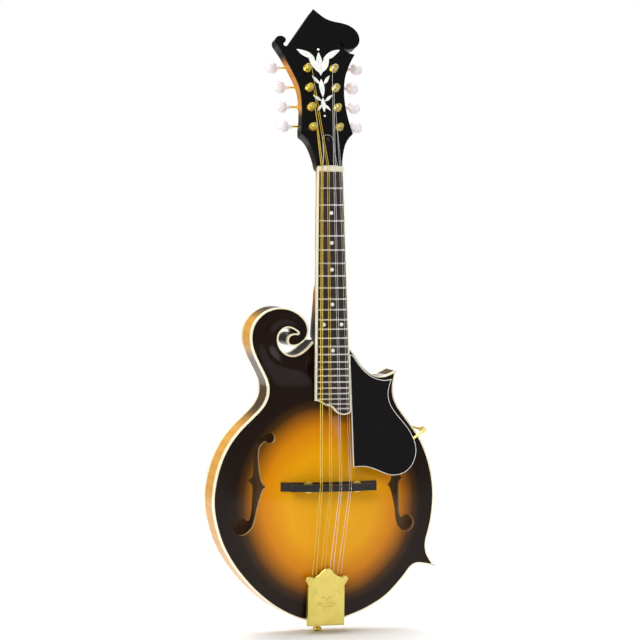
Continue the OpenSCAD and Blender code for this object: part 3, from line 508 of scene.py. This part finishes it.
def neck_finish():
    s, tone, stripes, _ = flamed("neck_maple", srgb(204, 136, 52), None)
    heel = s.rise(s.z, 0.40, 0.335)
    head_low = s.math("MULTIPLY", s.rise(s.z, 0.485, 0.52), s.rise(s.z, 0.580, 0.566))
    head_top = s.rise(s.z, 0.623, 0.637)
    dark = s.math("MAXIMUM", heel, s.math("MAXIMUM", head_low, head_top), True)
    s.colour(s.mix(dark, tone, srgb(32, 22, 18))).rough(s.noise(50), 0.24, 0.34)
    return s.bump(stripes, 0.04, 0.15).mat


def raw_wood(name, light, dark, axis="X"):
    s = Surface(name, roughness=0.6)
    grain = s.wave(140, axis, 1.6, 2, 5, (1, 1, 0.06))
    streak = s.noise(220, 4, 0.6, (1, 1, 0.04))
    s.colour(s.mix(s.math("MULTIPLY", s.math("ADD", grain, streak), 0.5, True), light, dark))
    s.rough(streak, 0.55, 0.75)
    return s.bump(streak, 0.1, 0.4).mat


def binding_finish(name="binding_cream", a=srgb(250, 244, 214), b=srgb(240, 228, 186)):
    s = Surface(name, coat_weight=0.8, coat_roughness=0.06)
    s.colour(s.mix(s.noise(90, 3), a, b)).rough(s.noise(300), 0.3, 0.42)
    return s.bump(s.noise(900, 2), 0.02, 0.15).mat


def black_lacquer(name, tint=srgb(9, 8, 8)):
    s = Surface(name, **LACQUER)
    s.colour(s.mix(s.noise(500, 4, 0.6, (1, 1, 0.08)), tint, srgb(16, 14, 13)))
    s.rough(s.noise(40), 0.22, 0.3)
    return s.bump(s.noise(400, 3), 0.015, 0.12).mat


def dark_wood(name, a, b, low=0.32, high=0.5):
    s = Surface(name, specular_ior_level=0.4)
    pores = s.noise(1400, 4, 0.7, (1, 1, 0.05))
    streak = s.noise(130, 5, 0.6, (1, 1, 0.04))
    s.colour(s.mix(s.rise(streak, 0.3, 0.7), a, b)).rough(pores, low, high)
    return s.bump(pores, 0.08, 0.4).mat


def metal(name, a, b, low=0.12, high=0.28, scratch=0.12):
    s = Surface(name, metallic=0.86)
    smear = s.noise(60, 2, 0.5)
    fine = s.noise(2600, 2, 0.6, (1, 0.2, 1))
    s.colour(s.mix(s.rise(smear, 0.35, 0.7), a, b)).rough(smear, low, high)
    return s.bump(fine, 0.01, scratch).mat


def wound_finish(name, a, b, pitch_mm):
    """Wrapped string: fine ridges round the string's run, at the wrap's real pitch, with painted shade in the
    grooves between the wraps.
    """
    s = Surface(name, metallic=1.0)
    ridge = s.add("ShaderNodeTexWave", s.place, bands_direction="Z", wave_profile="SIN")
    ridge.inputs["Scale"].default_value = 0.314 / (pitch_mm * MM)
    ridge.inputs["Distortion"].default_value = 0.0
    # Painted shade: the grooves between the wraps take the darker bronze and the crests the lighter one.
    s.colour(s.mix(ridge.outputs["Fac"], b, a)).rough(s.noise(300), 0.24, 0.36)
    return s.bump(ridge.outputs["Fac"], 0.06, 0.7).mat


def pearl(name, a, b, c):
    s = Surface(name, coat_weight=0.35, coat_roughness=0.14)
    swirl = s.noise(120, 3, 0.6)
    cell = s.noise(420, 2, 0.5)
    s.colour(s.mix(s.rise(cell, 0.4, 0.65), s.mix(s.rise(swirl, 0.35, 0.65), a, b), c))
    s.rough(swirl, 0.18, 0.32)
    return s.bump(cell, 0.01, 0.08).mat


M = {
    "top": top_finish(),
    "back": back_finish(),
    "rim": rim_finish(),
    "neck": neck_finish(),
    "spruce": raw_wood("inner_spruce", srgb(214, 178, 124), srgb(178, 134, 82)),
    "maple": raw_wood("inner_maple", srgb(216, 180, 128), srgb(186, 142, 92)),
    "block": raw_wood("block_wood", srgb(180, 136, 92), srgb(146, 100, 62)),
    "binding": binding_finish(),
    "white_edge": binding_finish("edge_white_strip", srgb(232, 232, 228), srgb(214, 214, 208)),
    "black": black_lacquer("head_black"),
    "guard": black_lacquer("guard_black", srgb(20, 18, 18)),
    "rosewood": dark_wood("board_rosewood", srgb(52, 34, 28), srgb(34, 22, 19)),
    "ebony": dark_wood("bridge_ebony", srgb(26, 19, 16), srgb(14, 11, 10), 0.34, 0.48),
    "gold": metal("gold_plate", srgb(240, 222, 122), srgb(234, 213, 108), 0.2, 0.3, 0.06),
    "gold_leaf": metal("gold_cover_plate", srgb(226, 206, 110), srgb(219, 198, 101), 0.26, 0.36, 0.05),
    "dark_screw": metal("blackened_screw", srgb(58, 56, 52), srgb(42, 41, 39), 0.3, 0.42),
    "gold_fine": metal("gold_bright", srgb(252, 234, 134), srgb(246, 222, 112), 0.2, 0.34, 0.06),
    "nickel": metal("fret_nickel", srgb(212, 210, 204), srgb(188, 186, 180), 0.16, 0.28),
    "steel": metal("plain_steel", srgb(240, 238, 232), srgb(224, 222, 218), 0.24, 0.36, 0.04),
    "rod": metal("rod_steel", srgb(150, 150, 154), srgb(116, 116, 122), 0.3, 0.45),
    "brass": metal("rod_nut_brass", srgb(206, 168, 86), srgb(178, 140, 64), 0.2, 0.35),
    # The second bronze colour of the wrap is painted shade for the grooves between its turns.
    "wound": wound_finish("bronze_wrap", srgb(248, 224, 112), srgb(196, 160, 64), 0.42),
    "bone": binding_finish("nut_bone", srgb(240, 232, 210), srgb(226, 214, 186)),
    "pearl": pearl("inlay_pearl", srgb(240, 240, 236), srgb(216, 222, 224), srgb(248, 244, 232)),
    "dots": pearl("dot_pearl", srgb(236, 234, 226), srgb(216, 216, 210), srgb(246, 242, 230)),
    "button": pearl("button_pearl", srgb(236, 228, 229), srgb(229, 220, 222), srgb(240, 234, 233)),
}


def dress(names, key, width=0.0, segments=3, angle=40):
    """A carried-over CAD node: its material, smooth faces with sharp edges, and a small edge round."""
    for n in names:
        obj = nodes[n]
        obj.data.materials.clear()
        obj.data.materials.append(M[key])
        obj.data.polygons.foreach_set("use_smooth", [True] * len(obj.data.polygons))
        obj.data.polygons.foreach_set("material_index", [0] * len(obj.data.polygons))
        normals = obj.data.attributes.get("custom_normal")
        if normals:
            obj.data.attributes.remove(normals)
        obj.modifiers.new("joined_points", "WELD").merge_threshold = 1e-6
        if width:
            bevel(obj, width, segments, angle)
            obj.modifiers.new("normals", "WEIGHTED_NORMAL").keep_sharp = True
        else:
            split = obj.modifiers.new("sharp_edges", "EDGE_SPLIT")
            split.split_angle = math.radians(angle)


def numbered(prefix):
    return [f"{prefix}_{i}" for i in range(1, 9)]


def give(obj, *keys):
    """The object's materials in order; each face keeps its material number."""
    index = [p.material_index for p in obj.data.polygons]
    obj.data.materials.clear()
    for k in keys:
        obj.data.materials.append(M[k])
    obj.data.polygons.foreach_set("material_index", index)


def tidy_mesh(obj):
    """Faces all pointing out, no doubled or loose points."""
    bm = bmesh.new()
    bm.from_mesh(obj.data)
    bmesh.ops.remove_doubles(bm, verts=bm.verts, dist=1e-6)
    bmesh.ops.delete(bm, geom=[v for v in bm.verts if not v.link_faces], context="VERTS")
    bmesh.ops.recalc_face_normals(bm, faces=bm.faces)
    bm.to_mesh(obj.data)
    bm.free()


def place_piece(obj, keys, body, replaces=()):
    give(obj, *keys)
    tidy_mesh(obj)
    if body:
        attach(obj, body)
    if replaces:
        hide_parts(*replaces)


# ------------------------------------------------------------------ the carved plates, the sides and their binding

def arch_rise(pts):
    """Share of the full arch at each point: a hollow near the edge, then a broad crown."""
    d = distance(BOUT, pts)
    d = np.where(inside(BOUT, pts), d, 0)
    return np.sin(math.pi / 2 * np.clip((d - 6) / 100, 0, 1)) ** 2


def scroll_rise(pts, height):
    """The low ridge that runs round the scroll."""
    d = distance(PLATE, pts)
    upper = step(pts[:, 1], 262, 292) * step(-pts[:, 0], 12, 30)
    return height * upper * np.sin(math.pi / 2 * np.clip((d - 2.5) / 11, 0, 1)) ** 2


def plates():
    flat_top = sheet_mesh(PLATE, HOLES, 3.2)
    top = thick_sheet(
        "top_carved", flat_top,
        lambda p: Y_FRONT - 15.5 * arch_rise(p) - scroll_rise(p, 2.4),
        lambda p: Y_FRONT + 4.0 - 15.5 * arch_rise(p) - scroll_rise(p, 2.4))
    sharp(top, 38)
    place_piece(top, ("top", "spruce", "spruce"), "mandolin", ["top_plate"])
    flat_back = sheet_mesh(PLATE, [], 3.6)
    back = thick_sheet(
        "back_carved", flat_back,
        lambda p: Y_BACK - 4.0 + 13.0 * arch_rise(p) + scroll_rise(p, 2.0),
        lambda p: Y_BACK + 13.0 * arch_rise(p) + scroll_rise(p, 2.0))
    sharp(back, 38)
    place_piece(back, ("maple", "back", "back"), "mandolin", ["back_plate"])


def sides():
    inner = inset(OUTLINE, 3.2)
    rim = ring("rim_bent", OUTLINE, inner, Y_FRONT + 5.5, Y_BACK - 5.5)
    sharp(rim, 50)
    place_piece(rim, ("rim",), "mandolin", ["rim"])
    for k, (y0, y1) in enumerate(((Y_FRONT - 0.12, Y_FRONT + 5.5), (Y_BACK - 5.5, Y_BACK + 0.12))):
        strip = ring(f"binding_strip_{k + 1}", OUTLINE, PLATE, y0, y1)
        sharp(strip, 50)
        bevel(strip, 0.45, 3, 60)
        place_piece(strip, ("binding",), "mandolin", ["body_binding"])


plates()
sides()


# ------------------------------------------------------------------ neck and headstock

def rounded_neck():
    """The CAD neck's solid with its joins carved smooth, flat where the board and the veneer lie."""
    mesh = nodes["neck"].data.copy()
    bm = bmesh.new()
    bm.from_mesh(mesh)
    bmesh.ops.remove_doubles(bm, verts=bm.verts, dist=1e-6)
    bm.to_mesh(mesh)
    bm.free()
    obj = bpy.data.objects.new("neck_source", mesh)
    bpy.context.scene.collection.objects.link(obj)
    m = obj.modifiers.new("voxels", "REMESH")
    m.mode = "VOXEL"
    m.voxel_size = NECK_VOXEL * MM
    done = bpy.data.meshes.new_from_object(obj.evaluated_get(bpy.context.evaluated_depsgraph_get()))
    bpy.data.objects.remove(obj)
    co = np.zeros(len(done.vertices) * 3)
    done.vertices.foreach_get("co", co)
    co = co.reshape(-1, 3)
    edges = np.zeros(len(done.edges) * 2, int)
    done.edges.foreach_get("vertices", edges)
    edges = edges.reshape(-1, 2)
    mm = co / MM - (0, 0, TAIL_Z)
    ny = (mm[:, 1] - NUT_Y) * math.cos(NECK_A) - (mm[:, 2] - NUT_Z) * math.sin(NECK_A)
    nz = (mm[:, 1] - NUT_Y) * math.sin(NECK_A) + (mm[:, 2] - NUT_Z) * math.cos(NECK_A)
    hy = (mm[:, 1] - HEAD_Y) * math.cos(HEAD_A) - (mm[:, 2] - HEAD_Z) * math.sin(HEAD_A)
    free = np.where(nz < 1, step(ny, BOARD + 0.6, BOARD + 3), step(hy, OVERLAY + 0.6, OVERLAY + 2))
    slab_back = (nz > 36) * step(hy, 11, 14.5) * 0.8
    free = free * (1 - slab_back)
    count = np.zeros(len(co))
    np.add.at(count, edges[:, 0], 1)
    np.add.at(count, edges[:, 1], 1)
    heel = step(-nz, 78, 96)
    for weight, times in ((free, CARVE_PASSES), (free * heel, HEEL_PASSES)):
        for _ in range(times):
            total = np.zeros_like(co)
            np.add.at(total, edges[:, 0], co[edges[:, 1]])
            np.add.at(total, edges[:, 1], co[edges[:, 0]])
            co += 0.5 * weight[:, None] * (total / count[:, None] - co)
    done.vertices.foreach_set("co", co.ravel())
    done.update()
    done.polygons.foreach_set("use_smooth", [True] * len(done.polygons))
    neck = bpy.data.objects.new("neck_carved", done)
    bpy.context.scene.collection.objects.link(neck)
    place_piece(neck, ("neck",), "mandolin", ["neck"])


LEAF = np.array(smooth([[0, 0], [2.4, 4], [3.3, 9], [2.2, 15], [0.4, 21]], 6)
                + smooth([[-0.4, 21], [-2.6, 15], [-2.9, 9], [-1.8, 4], [-0.2, 0.2]], 6))


def leaf(x, s, turn, size):
    c, k = math.cos(math.radians(turn)), math.sin(math.radians(turn))
    p = LEAF * size
    return np.stack([x + p[:, 0] * c + p[:, 1] * k, s - p[:, 0] * k + p[:, 1] * c], 1)


# Plain spray of leaves with a drop at each end, as in part.scad
ORNAMENT = [leaf(0, 108, 0, 1.3), leaf(0, 104, 180, 1.0), leaf(0, 82, 180, 0.8),
            circle(0, 139, 1.4, 24), circle(0, 60.5, 1.2, 20)]
for side in (-1, 1):
    ORNAMENT += [leaf(side * 2.2, 112, side * 24, 1.15), leaf(side * 5, 128, side * 62, 1.1),
                 leaf(side * 2.5, 98, side * 38, 0.6), leaf(side * 2.2, 78, side * 52, 0.55),
                 leaf(side * 1.6, 74, side * 140, 0.45)]


def headstock_face():
    pocket = np.array([[-4.6, 1.97], [-4.6, 22.6], [4.6, 22.6], [4.6, 1.97]])
    holes = [circle(side * POST_X, s, 3.9) for side in (-1, 1) for s in POST_S]
    face = thick_sheet("head_face", sheet_mesh(HEAD, holes + [pocket, circle(0.5, 32, 0.95, 16)] + ORNAMENT, 4),
                       lambda p: np.zeros(len(p)), lambda p: np.full(len(p), OVERLAY), head_pt)
    sharp(face, 35)
    place_piece(face, ("black",) * 3, "mandolin", ["head_overlay"])
    frame_box = np.array([[-34, 50], [-34, 146], [34, 146], [34, 50]])
    spray = thick_sheet("head_ornament", sheet_mesh(frame_box, ORNAMENT, 3, inverted=True),
                        lambda p: np.full(len(p), -0.04), lambda p: np.full(len(p), 0.8), head_pt)
    sharp(spray, 35)
    place_piece(spray, ("pearl",) * 3, "mandolin", ["head_inlay"])


# Truss rod cover outline in the headstock's plane, clockwise, as in part.scad
COVER_BELL = np.array(smooth([[-8.6, 1.8], [-7.4, 8], [-6.2, 18], [-5.8, 30], [-4.4, 35.6], [0.5, 38],
                              [5.4, 35.6], [6.8, 30], [7.2, 18], [8.2, 8], [9.2, 1.8]], 6))


def truss_cover():
    inner = inset(COVER_BELL, 0.4)
    screw = circle(0.5, 32, 0.92, 20)
    face = thick_sheet("rod_cover_face", sheet_mesh(inner, [screw], 3),
                       lambda p: np.full(len(p), -1.6), lambda p: np.full(len(p), -0.02), head_pt)
    edge = thick_sheet("rod_cover_edge", sheet_mesh(COVER_BELL, [inner], 50),
                       lambda p: np.full(len(p), -1.5), lambda p: np.full(len(p), -0.02), head_pt)
    for obj, key, slot in ((face, "guard", "black_plastic"), (edge, "white_edge", "edge_white")):
        sharp(obj, 35)
        place_piece(obj, (key,) * 3, "mandolin", ["truss_cover"])


rounded_neck()
headstock_face()
truss_cover()


# ------------------------------------------------------------------ tailpiece cover

COVER_HALF = 21.5
COVER_FRONT, COVER_FOLD = -30.35, 40.1
CROWN = smooth([[21, 0.5], [22.9, 4.5], [25, 8.3], [23.6, 11.6], [20.4, 12.7], [17.2, 11.6], [13.5, 12.2],
                [10.2, 14.4], [6.6, 18], [3, 21], [0, 22]], 6)


def cover_relief(p):
    """Raised plain ornament: a six-petalled flower, two waving stems and a fan of rays above them."""
    x, z = p[:, 0], p[:, 1]
    around = np.arctan2(z - 20, x)
    flower = np.exp(-((np.hypot(x, z - 20) - 6.2 - 2.6 * np.cos(6 * around)) / 1.5) ** 2)
    stem = np.exp(-((np.abs(x) - 14.2 - 1.7 * np.sin(z / 3.4)) / 1.1) ** 2) * step(z, 3, 6) * step(-z, -37, -33)
    fan = 0.5 * (1 + np.cos(12 * np.arctan2(x, z - 38))) * step(z, 44, 49) * step(-z, -58, -54)
    return 0.26 * np.maximum(np.maximum(flower, stem), 0.6 * fan)


def tailpiece():
    left = [(-x, z + COVER_FOLD) for x, z in CROWN]
    right = [(x, z + COVER_FOLD) for x, z in CROWN][-2::-1]
    edge = np.array([(-COVER_HALF, -3)] + [(-COVER_HALF, z) for z in range(1, 40, 4)] + left + right
                    + [(COVER_HALF, z) for z in range(37, -2, -4)] + [(COVER_HALF, -3)])

    def front(p):
        d = np.clip(distance(edge, p), 0, 1.5)
        rounding = 1.5 - np.sqrt(np.clip(1.5 ** 2 - (1.5 - d) ** 2, 0, None))
        lean = math.tan(math.radians(10)) * np.clip(p[:, 1] - COVER_FOLD, 0, None)
        rim_line = 0.16 * np.exp(-((distance(edge, p) - 3.0) / 0.45) ** 2)
        relief = (cover_relief(p) + rim_line) * step(distance(edge, p), 1.2, 2.4)
        return COVER_FRONT + rounding * 0.6 - lean - relief + 0.3

    shell = thick_sheet("tail_cover", sheet_mesh(edge, [], 0.75), front, lambda p: front(p) + 0.8)
    walls = []
    for x0, x1, z0, z1, y1 in ((-COVER_HALF, -COVER_HALF + 0.9, -3, 40, -24.15),
                               (COVER_HALF - 0.9, COVER_HALF, -3, 40, -24.15),
                               (-COVER_HALF, COVER_HALF, -3, -2.1, -26.8)):
        corners = [body_pt(x, y, z) for y in (-29.2, y1) for x, z in ((x0, z0), (x1, z0), (x1, z1), (x0, z1))]
        walls.append((corners, [(0, 1, 2, 3), (7, 6, 5, 4), (0, 4, 5, 1),
                                (1, 5, 6, 2), (2, 6, 7, 3), (3, 7, 4, 0)]))
    skirt = joined("tail_cover_skirt", walls)
    sharp(shell, 45)
    sharp(skirt, 30)
    bevel(skirt, 0.25)
    place_piece(shell, ("gold_leaf",) * 3, "cover", ["tailpiece_cover"])
    place_piece(skirt, ("gold_leaf",), "cover", ["tailpiece_cover"])


tailpiece()


# ------------------------------------------------------------------ strings

NUT_COURSES = [-10.9, -3.7, 3.8, 10.8]
SADDLE_COURSES = [-17.2, -5.9, 5.8, 17.2]
HOOK_COURSES = [-14.4, -4.9, 4.9, 14.4]
STRING_R = [0.50, 0.50, 0.33, 0.33, 0.22, 0.22, 0.16, 0.16]
COIL_DEPTH = [-3, -4.6, -5.8, -6.6]
POST_R, CLEAR = 3.0, 0.05


def string(i):
    r = STRING_R[i]
    side = -1 if i < 4 else 1
    post = i if i < 4 else 7 - i
    pair = -1 if i % 2 == 0 else 1
    nut_x = NUT_COURSES[i // 2] + pair * 0.95
    hook = body_pt(HOOK_COURSES[i // 2] + pair * 2.2, -27.4, 46)
    saddle = body_pt(SADDLE_COURSES[i // 2] + pair * 1.15, SADDLE_Y, BRIDGE_Z)
    nut = neck_pt(nut_x, -1.25 - r, 1.2)
    nut_back = neck_pt(nut_x, -1.1 - r, 4.0)
    reach = POST_R + CLEAR + 1.15 * r
    depth, s = COIL_DEPTH[post], POST_S[post]
    node = "wound_strings" if i < 4 else "plain_strings"
    key = "wound" if i < 4 else "steel"
    for part, a, b in (("tail", hook, saddle), ("speaking", nut, saddle)):
        run = [a.lerp(b, k / 24) for k in range(25)]
        obj = joined(f"string_{i + 1}_{part}", [tube(run, r * MM, 12)])
        place_piece(obj, (key,), None, [node])
        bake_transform(obj)
    turns = 2.25 if i < 4 else 4
    start = 0 if side < 0 else math.pi
    coil = []
    for k in range(int(turns * 28) + 1):
        a = start - side * 2 * math.pi * k / 28
        coil.append(head_pt(side * POST_X + reach * math.cos(a), depth - 2.1 * r * k / 28,
                            s + reach * math.sin(a)))
    run = [nut, nut_back] + [nut_back.lerp(coil[0], k / 8) for k in range(1, 8)] + coil
    obj = joined(f"string_{i + 1}_head", [tube(run, r * MM, 10)])
    place_piece(obj, (key,), "mandolin", [node])


for i in range(8):
    string(i)


# ------------------------------------------------------------------ carried-over CAD nodes

dress(["linings", "body_blocks"], "block")
dress(["tone_bars"], "spruce")
dress(["fretboard"], "rosewood", 0.25)
dress(["board_binding"], "binding", 0.2)
dress(["frets"], "nickel")
dress(["fret_dots"], "dots")
dress(["nut"], "bone", 0.2)
dress(["truss_rod"], "rod")
dress(["truss_rod_nut"], "brass")
dress(["pickguard"], "guard", 0.35)
dress(["pickguard_edge"], "white_edge", 0.15)
dress(["bridge_base", "bridge_saddle"], "ebony", 0.8)
dress(["small_screws", "post_bushings", "tailpiece_screws", "bridge_studs", "end_pin"], "gold")
dress(["tuner_plates", "tailpiece_base"], "gold", 0.2)
# The one small screw on the centre line holds the truss rod cover, and is dark
nodes["small_screws"].data.materials.append(M["dark_screw"])
for face in nodes["small_screws"].data.polygons:
    if abs(face.center.x) < SCREW_REACH * MM:
        face.material_index = 1
dress(["wheel_bass", "wheel_treble", "bracket_nut", "pickguard_bracket"], "gold")
dress(numbered("post") + numbered("worm"), "gold_fine")
dress(numbered("button"), "button")


# ------------------------------------------------------------------ floor, light and camera

def studio():
    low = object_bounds()[0][2]
    count = 96
    rings = [0.0, 0.4, 0.9, 1.6]
    verts = [(0, 0, low - FLOOR_GAP)]
    for r in rings[1:]:
        verts += [(r * math.cos(2 * math.pi * k / count), r * math.sin(2 * math.pi * k / count), low - FLOOR_GAP)
                  for k in range(count)]
    faces = [(0, 1 + k, 1 + (k + 1) % count) for k in range(count)]
    for j in range(len(rings) - 2):
        at = 1 + j * count
        faces += [(at + k, at + count + k, at + count + (k + 1) % count, at + (k + 1) % count)
                  for k in range(count)]
    floor = new_object("studio_floor", verts, faces)
    s = Surface("studio_white", roughness=0.9, specular_ior_level=0.1)
    s.colour(s.mix(s.noise(3, 2), (0.80, 0.80, 0.80, 1), (0.83, 0.83, 0.83, 1)))
    floor.data.materials.append(s.mat)
    for name, at, aim, size, power in (
            ("key", (-1.5, -2.4, 1.9), (0, 0, 0.35), 1.1, 42),
            ("side", (-2.6, -0.3, 1.0), (0, 0, 0.3), 1.2, 16),
            ("fill", (2.2, -2.6, 1.1), (0, 0, 0.3), 1.2, 13),
            ("over", (0.0, 0.9, 2.6), (0, 0.9, 0.0), 3.2, 120),
            ("behind", (1.4, 2.6, 1.6), (0, 0, 0.3), 1.4, 18)):
        data = bpy.data.lights.new(name, "AREA")
        data.shape = "SQUARE"
        data.size = size
        data.energy = power
        light = bpy.data.objects.new(name, data)
        light.location = at
        light.rotation_euler = (Vector(aim) - Vector(at)).to_track_quat("-Z", "Y").to_euler()
        bpy.context.scene.collection.objects.link(light)
    world = bpy.data.worlds.new("soft_world")
    world.use_nodes = True
    tree = world.node_tree
    lit = next(n for n in tree.nodes if n.type == "BACKGROUND")
    lit.inputs["Color"].default_value = (0.95, 0.97, 1.0, 1.0)
    lit.inputs["Strength"].default_value = 0.3
    seen = tree.nodes.new("ShaderNodeBackground")
    seen.inputs["Color"].default_value = (1, 1, 1, 1)
    seen.inputs["Strength"].default_value = 1.0
    path = tree.nodes.new("ShaderNodeLightPath")
    both = tree.nodes.new("ShaderNodeMixShader")
    tree.links.new(path.outputs["Is Camera Ray"], both.inputs[0])
    tree.links.new(lit.outputs[0], both.inputs[1])
    tree.links.new(seen.outputs[0], both.inputs[2])
    tree.links.new(both.outputs[0], next(n for n in tree.nodes if n.type == "OUTPUT_WORLD").inputs["Surface"])
    bpy.context.scene.world = world
    bpy.context.scene.view_settings.view_transform = "Standard"


def camera():
    az, el, roll = math.radians(-19.48), math.radians(3.51), math.radians(0.92)
    target, away = Vector((-0.00889, -0.01815, 0.3435)), 3.641
    back = Vector((math.sin(az) * math.cos(el), -math.cos(az) * math.cos(el), math.sin(el)))
    right = Vector((math.cos(az), math.sin(az), 0))
    up = back.cross(right)
    r = math.cos(roll) * right + math.sin(roll) * up
    u = -math.sin(roll) * right + math.cos(roll) * up
    data = bpy.data.cameras.new("photo_view")
    data.sensor_width = 36
    data.lens = 3274 / 640 * 36
    data.clip_end = 50
    cam = bpy.data.objects.new("photo_view", data)
    turn = Matrix((r, u, back)).transposed().to_4x4()
    cam.matrix_world = Matrix.Translation(target + back * away) @ turn
    bpy.context.scene.collection.objects.link(cam)
    bpy.context.scene.camera = cam


studio()
camera()
